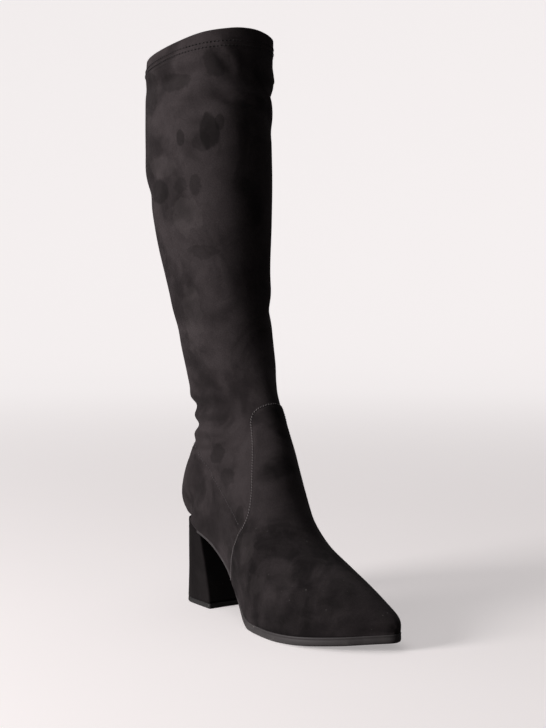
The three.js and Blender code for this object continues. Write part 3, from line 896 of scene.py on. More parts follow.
@dataclass(frozen=True)
class Suede:
    """Black brushed suede with its sheen, clouds, brushed marks and a little dust."""

    colour: Triple = (0.0165, 0.0132, 0.014)
    brushed: Triple = (0.05, 0.041, 0.043)
    sheen: float = 0.11
    clouds: float = 0.75
    marks: float = 1.55
    dust: float = 0.22
    pale_mark: Triple = (0.16, 0.14, 0.14)
    dark_mark: Triple = (0.005, 0.004, 0.004)
    lint: Triple = (0.2, 0.19, 0.18)
    pile_height: float = 0.00022

    def marked_colour(self, graph: Graph, groups: Groups, colour: Socket) -> Socket:
        """Lays the listed marks over a colour.

        Args:
            graph: The material's graph.
            groups: The shared shader groups.
            colour: The suede's own colour.

        Returns:
            The colour with the marks.
        """
        for mark in MARKS:
            spot = groups.put(
                graph,
                groups.mark,
                Centre=tuple(v * MM for v in mark.centre),
                Size=tuple(v * MM for v in mark.size),
                Ragged=mark.ragged,
            )
            pale = mark.light > 0
            share = graph.math("MULTIPLY", spot["Mask"], abs(mark.light) * (1 if pale else self.marks))
            colour = graph.mix(share, colour, (*(self.pale_mark if pale else self.dark_mark), 1))
        return colour

    def material(self, groups: Groups, name: str, marked: bool = False) -> bpy.types.Material:
        """Builds the material.

        Args:
            groups: The shared shader groups.
            name: The material's name.
            marked: Whether the listed marks are on it.

        Returns:
            The material.
        """
        material, graph, shader = started(
            name,
            Specular_IOR_Level=0.12,
            Sheen_Weight=self.sheen,
            Sheen_Roughness=0.42,
            Sheen_Tint=(0.95, 0.86, 0.88, 1),
        )
        tones = {"Colour": (*self.colour, 1), "Brushed": (*self.brushed, 1)}
        nap = groups.put(graph, groups.nap, **tones, Clouds=self.clouds, Fibre=1.0)
        colour = self.marked_colour(graph, groups, nap["Colour"]) if marked else nap["Colour"]
        dusty = groups.put(graph, groups.dust, Colour=colour, Dust=(*self.lint, 1), Amount=self.dust)
        graph.feed(shader, Base_Color=dusty["Colour"], Roughness=nap["Roughness"])
        bumped(graph, shader, nap["Height"], self.pile_height, strength=0.6)
        return material


@dataclass(frozen=True)
class Rubber:
    """Moulded rubber with a fine grain, rubbed paler in patches and at its tread, and dusty low down."""

    colour: Triple = (0.05, 0.0445, 0.046)
    worn: Triple = (0.095, 0.089, 0.088)
    roughness: float = 0.62
    dust: float = 0.8
    grit: Triple = (0.33, 0.31, 0.28)
    tread_wear: tuple[float, float] = (0.004, 0.0005)
    grain_height: float = 0.00012

    def material(self, groups: Groups, name: str) -> bpy.types.Material:
        """Builds the material.

        Args:
            groups: The shared shader groups.
            name: The material's name.

        Returns:
            The material.
        """
        material, graph, shader = started(name, Specular_IOR_Level=0.35)
        place = graph.place()
        rubbed = graph.ramp(graph.noise(place, scale=130, detail=5, rough=0.7), 0.5, 0.8)
        tread = graph.ramp(graph.axes(place)["Z"], *self.tread_wear)
        share = graph.math("MAXIMUM", graph.math("MULTIPLY", rubbed, 0.5), graph.math("MULTIPLY", tread, 0.6))
        colour = graph.mix(share, (*self.colour, 1), (*self.worn, 1))
        dusty = groups.put(graph, groups.dust, Colour=colour, Dust=(*self.grit, 1), Amount=self.dust)
        rough = graph.math("MULTIPLY_ADD", rubbed, 0.2, self.roughness)
        graph.feed(shader, Base_Color=dusty["Colour"], Roughness=rough)
        grain = graph.math("ADD", graph.noise(place, scale=1500), graph.noise(place, scale=320))
        bumped(graph, shader, grain, self.grain_height, strength=0.7)
        return material


@dataclass(frozen=True)
class Knit:
    """A woven or knitted cloth, for the lining, the zip's tape and coil, and the insole's cover."""

    colour: Triple = (0.012, 0.012, 0.013)
    yarn: Triple = (0.045, 0.043, 0.045)
    rows: float = 5200.0
    sheen: float = 0.1
    dust: float = 0.3
    yarn_height: float = 0.00025

    def material(self, groups: Groups, name: str) -> bpy.types.Material:
        """Builds the material.

        Args:
            groups: The shared shader groups.
            name: The material's name.

        Returns:
            The material.
        """
        material, graph, shader = started(
            name, Roughness=0.9, Specular_IOR_Level=0.2, Sheen_Weight=self.sheen, Sheen_Roughness=0.5
        )
        tones = {"Colour": (*self.colour, 1), "Yarn": (*self.yarn, 1)}
        weave = groups.put(graph, groups.weave, **tones, Rows=self.rows)
        dusty = groups.put(graph, groups.dust, Colour=weave["Colour"], Amount=self.dust)
        graph.feed(shader, Base_Color=dusty["Colour"])
        bumped(graph, shader, weave["Height"], self.yarn_height, strength=0.8)
        return material


@dataclass(frozen=True)
class Thread:
    """Matt sewing thread with its twist."""

    colour: Triple = (0.1, 0.09, 0.092)
    lit: float = 2.2
    rows: float = 9000.0
    twist_height: float = 0.00012

    def material(self, groups: Groups, name: str) -> bpy.types.Material:
        """Builds the material.

        Args:
            groups: The shared shader groups.
            name: The material's name.

        Returns:
            The material.
        """
        material, graph, shader = started(name, Roughness=0.75, Specular_IOR_Level=0.3, Sheen_Weight=0.1)
        light = tuple(v * self.lit for v in self.colour)
        tones = {"Colour": (*self.colour, 1), "Yarn": (*light, 1)}
        weave = groups.put(graph, groups.weave, **tones, Rows=self.rows)
        graph.feed(shader, Base_Color=weave["Colour"])
        bumped(graph, shader, weave["Height"], self.twist_height, strength=0.6)
        return material


@dataclass(frozen=True)
class Plated:
    """Dark plated metal, with fine scratches and its plating rubbed through in places."""

    colour: Triple = (0.09, 0.087, 0.09)
    worn: Triple = (0.32, 0.3, 0.28)
    roughness: float = 0.32
    stretch: Triple = (1, 1, 0.12)
    scratch_turn: Triple = (0.4, 0.2, 0)
    scratch_height: float = 0.00003

    def material(self, name: str) -> bpy.types.Material:
        """Builds the material.

        Args:
            name: The material's name.

        Returns:
            The material.
        """
        material, graph, shader = started(name, Metallic=0.9)
        place = graph.place()
        stretched = graph.node("ShaderNodeMapping")
        graph.feed(stretched, Vector=place, Scale=self.stretch, Rotation=self.scratch_turn)
        scratch = graph.noise(stretched.outputs[0], scale=2400, detail=4, rough=0.7)
        scratch = graph.ramp(scratch, 0.52, 0.72)
        rubbed = graph.ramp(graph.noise(place, scale=420, detail=4, rough=0.65), 0.52, 0.78)
        bare = graph.math("MULTIPLY", rubbed, 0.45)
        share = graph.math("MAXIMUM", graph.math("MULTIPLY", scratch, 0.35), bare)
        colour = graph.mix(share, (*self.colour, 1), (*self.worn, 1))
        rough = graph.math("MULTIPLY_ADD", scratch, 0.2, self.roughness)
        graph.feed(shader, Base_Color=colour, Roughness=rough)
        bumped(graph, shader, scratch, self.scratch_height, strength=0.5)
        return material


@dataclass(frozen=True)
class Backdrop:
    """The plain pale floor and backdrop, which glow for the camera and give the boot little light."""

    colour: Triple = (0.7, 0.67, 0.67)
    unseen: Triple = (0.12, 0.115, 0.115)
    near: Triple = (0.37, 0.352, 0.352)
    far: Triple = (0.76, 0.73, 0.73)
    glow_reach: tuple[float, float] = (0.2, 2.7)
    dimmed: float = 0.985

    def material(self) -> bpy.types.Material:
        """Builds the material.

        Returns:
            The material.
        """
        material, graph, shader = started(
            "backdrop_paper", Roughness=0.85, Specular_IOR_Level=0.1, Emission_Strength=1.0
        )
        place = graph.place()
        tint = graph.ramp(graph.noise(place, scale=3, detail=2), 0.2, 0.8)
        dim = tuple(v * self.dimmed for v in self.colour)
        paper = graph.mix(tint, (*dim, 1), (*self.colour, 1))
        seen = graph.node("ShaderNodeLightPath").outputs["Is Camera Ray"]
        graph.feed(shader, Base_Color=graph.mix(seen, (*self.unseen, 1), paper))
        away = graph.vector("LENGTH", _0=place).outputs["Value"]
        glow = graph.mix(graph.ramp(away, *self.glow_reach), (*self.near, 1), (*self.far, 1))
        graph.feed(shader, Emission_Color=graph.mix(seen, (0, 0, 0, 1), glow))
        return material


# --------------------------------------------------------------------------- sub-assemblies


@dataclass
class SubAssembly:
    """A part of the boot that makes its own pieces and dresses them."""

    form: BootForm
    groups: Groups

    def build(self) -> list[bpy.types.Object]:
        """Makes the pieces, of which there are none where the frame's own nodes are kept."""
        return []

    def finishes(self) -> dict[str, bpy.types.Material]:
        """The finish of each piece, and of each of the frame's nodes that is kept, by name."""
        raise NotImplementedError

    def dress(self, pieces: list[bpy.types.Object]) -> None:
        """Gives the pieces and the frame's kept nodes their finishes.

        Args:
            pieces: The sub-assembly's pieces.
        """
        made = {piece.name: piece for piece in pieces}
        for name, finish in self.finishes().items():
            if name in made:
                made[name].data.materials.append(finish)
                continue
            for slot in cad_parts[name].material_slots:
                slot.material = finish


# --------------------------------------------------------------------------- folds of the suede


@dataclass(frozen=True)
class Fold:
    """A soft trough in the suede with a ridge beside it.

    The turns are places round the shaft, the heights are above the floor, and depth, breadth and the
    ridge's share are the trough's own. A negative depth is a swelling.
    """

    turn_from: float
    height_from: float
    turn_to: float
    height_to: float
    depth: float
    breadth: float
    ridge: float = 0.5

    def lift(self, turn: Array, height: Array, girth: float) -> Array:
        """How far the fold moves the surface outwards.

        Args:
            turn: Turns of the points.
            height: Heights of the points.
            girth: The length round the shaft, which turns a share into millimetres.

        Returns:
            The distances outwards.
        """
        span = (self.turn_to - self.turn_from) * girth
        rise = self.height_to - self.height_from
        reach = math.hypot(span, rise)
        off = (turn - self.turn_from + 0.5) % 1 - 0.5
        x, y = off * girth, height - self.height_from
        along = (x * span + y * rise) / reach
        side = (y * span - x * rise) / reach * (1 if span >= 0 else -1)
        ends = smoothstep(along, -1.2 * self.breadth, 0.35 * reach)
        ends = ends * (1 - smoothstep(along, 0.65 * reach, reach + 1.2 * self.breadth))
        trough = np.exp(-((side / self.breadth) ** 2))
        crest = np.exp(-(((side - 1.9 * self.breadth) / (1.2 * self.breadth)) ** 2))
        return self.depth * ends * (self.ridge * crest - trough)


FOLDS = (
    Fold(0.12, 446, 0.41, 455, 2.6, 5.5, 0.7),
    Fold(0.40, 474, 0.47, 452, 2.0, 4.5, 0.8),
    Fold(0.41, 435, 0.56, 422, 3.4, 4.2, 0.9),
    Fold(0.32, 414, 0.47, 441, 1.6, 9.0, 0.7),
    Fold(0.26, 316, 0.42, 298, 2.0, 8.0, 0.7),
    Fold(0.08, 346, 0.26, 374, 1.5, 9.0, 0.7),
    Fold(0.0, 171, 0.42, 179, 1.9, 4.4, 0.8),
    Fold(0.0, 153, 0.43, 166, 2.1, 4.2, 0.8),
    Fold(0.04, 138, 0.41, 150, 1.7, 4.0, 0.8),
    Fold(0.16, 134, 0.38, 141, 1.5, 3.6, 0.8),
    Fold(0.16, 129, 0.33, 117, 1.3, 4.5, 0.8),
    Fold(0.18, 186, 0.34, 194, 1.0, 5.0, 0.8),
    Fold(0.58, 176, 0.95, 172, 2.4, 3.6, 0.8),
    Fold(0.58, 160, 0.96, 158, 2.8, 3.4, 0.9),
    Fold(0.60, 145, 0.92, 141, 2.0, 3.4, 0.8),
    Fold(0.56, 446, 0.68, 432, 1.5, 5.0, 0.8),
    Fold(0.56, 425, 0.64, 405, 1.2, 6.0, 0.7),
    Fold(0.78, 440, 0.98, 450, 2.0, 7.0),
    Fold(0.80, 330, 0.98, 318, 1.6, 9.0),
    Fold(0.58, 250, 0.70, 262, 1.4, 8.0),
    Fold(0.12, 236, 0.34, 254, 1.3, 9.0),
    Fold(0.28, 276, 0.42, 268, 1.0, 8.0),
)


# --------------------------------------------------------------------------- upper


@dataclass
class Upper(SubAssembly):
    """The suede shaft and counter, open along the zip and hemmed at the collar, with the lining."""

    across: int = 208
    first_place: float = 7.4
    shaft_place: float = 16.0
    collar_reach: float = 0.62
    slit_half: float = 2.6
    shaft_girth: float = 290.0
    hem: float = 14.5
    hem_swell: float = 0.35
    stitch_rows: tuple[float, float] = (8.5, 12.4)
    groove: float = 0.25
    groove_breadth: float = 0.7
    seam_depth: float = 0.8
    seam_breadth: float = 0.9
    # Waves of the suede under the collar, and of the collar's edge: how many there are round it, the angle
    # at which they start, and their height.
    collar_waves: tuple[Triple, ...] = ((2, 0.6, 1.1), (3, 2.0, 0.7))
    collar_wave_depth: float = 60.0
    rim_ripple: Triple = (3, 1, 0.8)
    # Rises of the collar's edge: the turn, the breadth as a share of a turn, and the height.
    rim_rises: tuple[Triple, ...] = ((0.5, 0.055, 2.2), (0.3, 0.08, -2.2), (0.62, 0.055, -1.6))
    rim_reach: float = 1.3
    # How strong the folds are at the collar's edge, and the depths under it between which they grow full.
    fold_calm: Triple = (0.35, 2, 30)
    # The suede's unevenness between its folds: its height, and two lengths of its waves up the shaft.
    unevenness: Triple = (0.4, 19, 31)
    # The heights between which the counter's seam lies, and the distance from it that is looked at.
    seam_heights: tuple[float, float] = (60, 165)
    seam_search: float = 9.0
    # Where the suede starts to drape: turns from the sole's middle line, or places behind the heel.
    free_turns: tuple[float, float] = (0.065, 0.1)
    free_places: tuple[float, float] = (13, 13.6)
    # The hem's roll over the collar: the depth into the boot and the rise of each row.
    hem_roll: tuple[tuple[float, float], ...] = (
        (0.15, 0.45),
        (0.6, 0.85),
        (1.2, 0.9),
        (1.75, 0.5),
        (2.0, -0.2),
    )
    hem_depth: float = 2.05
    hem_steps: tuple[int, ...] = (4, 10, 16, 22, 28, 34)
    slit_roll: Triple = (0.25, 0.8, 1.5)
    # The heel's back is eased over these heights above the sole line, places and turns, by a share of the way
    # to the neighbours' middle at each pass.
    ease_heights: tuple[float, float] = (2, 9)
    ease_from: tuple[float, float] = (11, 12.2)
    ease_to: tuple[float, float] = (14.5, 15.5)
    ease_turns: tuple[float, float] = (0.15, 0.22)
    ease_passes: int = 70
    ease_share: float = 0.8
    lining_depth: float = 1.9
    lining_follows: float = 0.85

    def opened(self, place: Array) -> Array:
        """How far the slit is open at each place, from 0 to 1."""
        return smoothstep(place, self.form.zip_first - 0.02, self.form.zip_first + 0.12)

    def slit(self, place: Array) -> tuple[Array, Array]:
        """The slit at each place.

        Args:
            place: The places.

        Returns:
            The turn of the slit's middle, and half its width as a share of a turn.
        """
        form = self.form
        steady = smoothstep(place, form.zip_first - 2.5, form.zip_first)
        middle = 0.75 + (form.zip_turn(np.maximum(place, form.zip_first)) - 0.75) * steady
        return middle, self.slit_half / form.girth(place) * self.opened(place)

    def turns(self, place: Array) -> Array:
        """The turn of every column, from one edge of the slit round to the other.

        Args:
            place: A place for each row.

        Returns:
            A row of turns for each place.
        """
        middle, half = self.slit(place)
        share = np.linspace(0, 1, self.across)
        return middle[:, None] + half[:, None] + (1 - 2 * half[:, None]) * share[None, :] - 1

    def counter_line(self) -> dict[Side, Array]:
        """The counter's seam.

        Returns:
            A line of points in space for each side.
        """
        lines = {}
        step = np.linspace(0, len(COUNTER_EDGE["fore"]) - 1, 160)
        fore, height = blended(COUNTER_EDGE["fore"], step), blended(COUNTER_EDGE["height"], step)
        for side in Side:
            place, turn = self.form.locate(fore, height, side)
            lines[side] = self.form.skin(place, turn)
        return lines

    def seam_gap(self, points: Array, line: Array) -> Array:
        """Distances from a seam.

        Args:
            points: The points.
            line: Points along the seam.

        Returns:
            A distance for each point, up to the distance that is looked at.
        """
        gap = np.full(len(points), self.seam_search)
        for start in range(0, len(line), 40):
            part = line[start : start + 40]
            gap = np.minimum(gap, np.linalg.norm(points[:, None] - part[None], axis=-1).min(1))
        return gap

    def drape(self, place: Array, turn: Array, points: Array) -> Array:
        """How far the suede stands out from the plain form, with its folds, hem and seams.

        Args:
            place: Places of the points.
            turn: Turns of the points.
            points: The points on the plain form.

        Returns:
            The distances outwards.
        """
        height = points[..., 2]
        angle = 2 * math.pi * turn
        out = sum(fold.lift(turn, height, self.shaft_girth) for fold in FOLDS)
        rim = self.form.skin(np.full(place.shape, float(self.form.last)), turn)[..., 2]
        under_rim = rim - height
        calm, *depths = self.fold_calm
        out = out * (calm + (1 - calm) * smoothstep(under_rim, *depths))
        wave = sum(size * np.sin(count * angle + start) for count, start, size in self.collar_waves)
        out += wave * (1 - smoothstep(under_rim, 0, self.collar_wave_depth))
        uneven, short, long = self.unevenness
        out += uneven * np.sin(height / short + angle) * np.sin(3 * angle + height / long)
        out += self.hem_swell * (1 - smoothstep(under_rim, self.hem - 0.8, self.hem + 0.8))
        for row in self.stitch_rows:
            out -= self.groove * np.exp(-(((under_rim - row) / self.groove_breadth) ** 2))
        near_seam = (height > self.seam_heights[0]) & (height < self.seam_heights[1])
        for line in self.counter_line().values():
            gap = self.seam_gap(points[near_seam], line)
            out[near_seam] -= self.seam_depth * np.exp(-((gap / self.seam_breadth) ** 2))
        from_sole = 0.5 - np.abs((turn % 1) - 0.5)
        beside_sole = smoothstep(from_sole, *self.free_turns)
        return out * np.maximum(beside_sole, smoothstep(place, *self.free_places))

    def rim_wave(self, turn: Array) -> Array:
        """How far the collar's edge rises or droops.

        Args:
            turn: Turns round the collar.

        Returns:
            The rise at each turn.
        """
        count, start, size = self.rim_ripple
        rise = size * np.sin(2 * math.pi * count * turn + start)
        for middle, breadth, high in self.rim_rises:
            rise = rise + high * np.exp(-((((turn % 1) - middle) / breadth) ** 2))
        return rise

    def eased(self, points: Array, places: Array, turns: Array) -> Array:
        """Eases the back of the heel into one round form above its seat.

        Args:
            points: A grid of points.
            places: Their places.
            turns: Their turns.

        Returns:
            The eased grid.
        """
        line = self.form.sole_line((self.form.heel_back - points[..., 1]) / self.form.length * 100)["z"]
        share = smoothstep(points[..., 2] - line, *self.ease_heights) * smoothstep(places, *self.ease_from)
        share *= 1 - smoothstep(places, *self.ease_to)
        share *= 1 - smoothstep(np.abs((turns + 0.5) % 1 - 0.5), *self.ease_turns)
        share = share[1:-1, 1:-1, None] * self.ease_share
        for _ in range(self.ease_passes):
            around = (points[:-2, 1:-1] + points[2:, 1:-1] + points[1:-1, :-2] + points[1:-1, 2:]) / 4
            points[1:-1, 1:-1] += (around - points[1:-1, 1:-1]) * share
        return points

    def face(self, place: Array) -> tuple[Array, Array]:
        """The suede's outside, from the foot up to the collar.

        Args:
            place: A place for each row.

        Returns:
            Rows of points, and the direction into the boot at each.
        """
        last = self.form.last
        turns = self.turns(place)
        places = np.repeat(place[:, None], self.across, 1)
        plain = self.form.skin(places, turns)
        inwards = self.form.inwards(places, turns)
        points = plain - inwards * self.drape(places, turns, plain)[..., None]
        points[..., 2] += self.rim_wave(turns) * smoothstep(places, last - self.rim_reach, last)
        return self.eased(points, places, turns), inwards

    def hem_rows(self, points: Array, inwards: Array) -> Array:
        """The hem, rolled over the collar and hanging down inside it.

        Args:
            points: The suede's outside.
            inwards: The direction into the boot at each point.

        Returns:
            The hem's rows.
        """
        up = np.array([0, 0, 1.0])
        rolled = [points[-1] + inwards[-1] * depth + up * rise for depth, rise in self.hem_roll]
        hanging = [points[-1 - step] + inwards[-1 - step] * self.hem_depth for step in self.hem_steps]
        return np.array(rolled + hanging)

    def suede(self) -> bpy.types.Object:
        """Makes the suede, with its hem and the turned edges of the slit.

        Returns:
            The piece.
        """
        last = float(self.form.last)
        foot = np.linspace(self.first_place, self.shaft_place, 120)
        shaft = np.linspace(self.shaft_place, last - self.collar_reach, 150)[1:]
        collar = np.linspace(last - self.collar_reach, last, 42)[1:]
        place = np.concatenate([foot, shaft, collar])
        outside, inwards = self.face(place)
        hem = self.hem_rows(outside, inwards)
        rows = np.concatenate([outside, hem])
        inwards = np.concatenate([inwards, np.repeat(inwards[-1:], len(hem), 0)])
        opened = np.concatenate([self.opened(place), np.zeros(len(hem))])[:, None]
        left, right = (
            np.stack([rows[:, edge] + inwards[:, edge] * (depth * opened) for depth in self.slit_roll], 1)
            for edge in (0, -1)
        )
        table = np.concatenate([left[:, ::-1], rows, right], 1)
        faces = grid_faces(len(table), table.shape[1])
        suede = make_piece("shaft_suede", table.reshape(-1, 3), faces, Slot.SUEDE)
        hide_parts("upper")
        return suede

    def lining(self) -> bpy.types.Object:
        """Makes the lining, from inside the toe up to the hem.

        Returns:
            The piece.
        """
        form = self.form
        foot = np.linspace(1.2, self.shaft_place, 90)
        shaft = np.linspace(self.shaft_place, form.last - 0.28, 60)[1:]
        place = np.concatenate([foot, shaft])
        turns = self.turns(place)[:, ::2]
        places = np.repeat(place[:, None], turns.shape[1], 1)
        plain = form.skin(places, turns)
        follows = np.where(places > 8, self.lining_follows * self.drape(places, turns, plain), 0)
        depth = np.clip(self.lining_depth - follows, 1.2, 5)
        points = plain + form.inwards(places, turns) * depth[..., None]
        faces = grid_faces(len(place), turns.shape[1], flip=True)
        return make_piece("lining_knit", points.reshape(-1, 3), faces, Slot.LINING)

    def build(self) -> list[bpy.types.Object]:
        """Makes the suede and the lining."""
        return [self.suede(), self.lining()]

    def finishes(self) -> dict[str, bpy.types.Material]:
        """The marked suede and the knitted lining.

        Returns:
            The finish of each by name.
        """
        return {
            "shaft_suede": Suede().material(self.groups, "suede_shaft", marked=True),
            "lining_knit": Knit().material(self.groups, "lining_knit"),
        }


# --------------------------------------------------------------------------- vamp


@dataclass
class Vamp(SubAssembly):
    """The vamp panel: its edges are rolled under, and its tongue stands over the shaft."""

    upper: Upper
    thick: float = 1.35
    roll: float = 0.9
    across: int = 168
    rows: int = 130
    base: float = 8.2
    first_turn: float = 0.0665
    tongue_turn: float = 0.332
    # The furrow beside the seam and the swelling next to it: height, distance from the seam, and breadth.
    furrow: Triple = (0.3, 2.3, 0.7)
    puff: Triple = (0.3, 5, 3)
    toe_tip: Triple = (0, -0.6, 0.4)

    def edge(self, side: Side) -> tuple[Array, Array]:
        """The seam on one side, from the tongue's top down to the waist.

        Args:
            side: The side.

        Returns:
            Its places and turns.
        """
        step = np.linspace(1, len(VAMP_EDGE["fore"]) - 1, 260)
        fore, height = blended(VAMP_EDGE["fore"], step), blended(VAMP_EDGE["height"], step)
        return self.form.locate(fore, height, side)

    def seam_line(self) -> tuple[Array, Array]:
        """The whole seam, from the outer waist over the tongue to the inner waist.

        Returns:
            Its places and turns.
        """
        outer_place, outer_turn = self.edge(Side.OUTER)
        inner_place, inner_turn = self.edge(Side.INNER)
        top = np.linspace(outer_turn[0], inner_turn[0], 22)[1:-1]
        top_place = np.full(top.shape, outer_place[0])
        places = np.concatenate([outer_place[::-1], top_place, inner_place])
        turns = np.concatenate([outer_turn[::-1], top, inner_turn])
        return places, turns

    def lower_limit(self, turn: Array) -> Array:
        """The panel's highest place below the tongue.

        Args:
            turn: Turns round the foot.

        Returns:
            The place at each turn.
        """
        place, seam_turn = self.edge(Side.OUTER)
        low = (seam_turn < 0.33) & (place < 9)
        order = np.argsort(seam_turn[low])
        return np.interp(0.5 - np.abs(turn - 0.5), seam_turn[low][order], place[low][order])

    def tongue_half(self, level: Array) -> Array:
        """The turn of the tongue's outer edge.

        Args:
            level: Places above the tongue's base.

        Returns:
            The turn at each place.
        """
        place, seam_turn = self.edge(Side.OUTER)
        high = seam_turn >= self.tongue_turn
        return np.interp(level, place[high][::-1], seam_turn[high][::-1])

    def lifted(self, places: Array, turns: Array) -> Array:
        """Points of the panel's face at places and turns, in one list."""
        return self.form.at(places, turns, -self.height(places, turns)).reshape(-1, 3)

    def height(self, place: Array, turn: Array) -> Array:
        """How far the panel stands above the form, rolled down at its seam.

        Args:
            place: Places of the points.
            turn: Turns of the points.

        Returns:
            The heights.
        """
        points = self.form.skin(place, turn)
        seam = self.form.skin(*self.seam_line())
        flat = points.reshape(-1, 3)
        gap = np.full(len(flat), 50.0)
        near = np.where(flat[:, 1] > -140)[0]
        for start in range(0, len(near), 4000):
            part = near[start : start + 4000]
            gap[part] = np.linalg.norm(flat[part, None] - seam[None], axis=-1).min(1)
        gap = gap.reshape(points.shape[:-1])
        rolled = self.thick * np.sqrt(np.clip(1 - (1 - np.clip(gap / self.roll, 0, 1)) ** 2, 0, 1))
        furrow, puff = (
            size * np.exp(-(((gap - middle) / breadth) ** 2))
            for size, middle, breadth in (self.furrow, self.puff)
        )
        return np.maximum(rolled - furrow + puff, 0.05) + self.upper.drape(place, turn, points)

    def build(self) -> list[bpy.types.Object]:
        """Makes the panel as one sheet over the form, with its rim rolled down to the shaft.

        Returns:
            The panel.
        """
        left = float(self.tongue_half(np.array([self.base]))[0])
        fine = np.array([0.0, 0.003, 0.007, 0.012, 0.02, 0.032])
        tower = np.concatenate([fine, np.linspace(0.045, 0.955, self.across // 2), 1 - fine[::-1]])
        side = np.linspace(self.first_turn, left, self.across // 3, endpoint=False)
        turns = np.concatenate([side, left + (1 - 2 * left) * tower, 1 - side[::-1]])
        first, count, width = len(side), len(turns), len(tower)
        under_tongue = (turns >= left) & (turns <= 1 - left)
        cap = np.where(under_tongue, self.base, self.lower_limit(turns))
        near_seam = np.array([0.965, 0.974, 0.982, 0.988, 0.992, 0.995, 0.9975, 0.999, 1.0])
        share = np.concatenate([np.linspace(0, 0.955, self.rows) ** 0.9, near_seam])
        foot = self.lifted(share[:, None] * cap[None, :], np.repeat(turns[None, :], len(share), 0))
        top = float(self.edge(Side.OUTER)[0].max()) - 0.004
        level = top - (top - self.base) * (1 - np.linspace(0, 1, self.rows)[1:]) ** 1.8
        half = self.tongue_half(level)[:, None]
        tongue = self.lifted(np.repeat(level[:, None], width, 1), half + (1 - 2 * half) * tower[None, :])
        toe = foot[:count].mean(0) + np.array(self.toe_tip)
        base, offset, centre = (len(share) - 1) * count + first, len(foot), len(foot) + len(tongue)
        faces = grid_faces(len(share), count)
        faces += [(base + j, base + j + 1, offset + j + 1, offset + j) for j in range(width - 1)]
        faces += [tuple(v + offset for v in face) for face in grid_faces(len(level), width)]
        # The toe is closed by a fan, and the panel's two lower edges are joined under the foot.
        faces += [(centre, (j + 1) % count, j) for j in range(count)]
        for here in range(0, (len(share) - 1) * count, count):
            ahead = here + count
            faces.append((here + count - 1, here, ahead, ahead + count - 1))
        panel = make_piece("vamp_panel", np.concatenate([foot, tongue, [toe]]), faces, Slot.SUEDE)
        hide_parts("vamp")
        return [panel]

    def finishes(self) -> dict[str, bpy.types.Material]:
        """The marked suede of the panel, a darker copy of the shaft's suede that stands as painted shade over
        the vamp.

        Returns:
            The finish of each by name.
        """
        # Painted shade: the vamp's suede is darkened all over, below the shaft's own tone.
        suede = Suede(colour=(0.0085, 0.0069, 0.0073), brushed=(0.043, 0.0352, 0.037), sheen=0.07)
        return {"vamp_panel": suede.material(self.groups, "suede_vamp_painted_shade", marked=True)}


# --------------------------------------------------------------------------- seams and stitches


@dataclass(frozen=True)
class Stitch:
    """One kind of stitch: its pitch, its length, its slant in degrees, and its rise above the suede."""

    pitch: float
    length: float
    slant: float
    rise: float


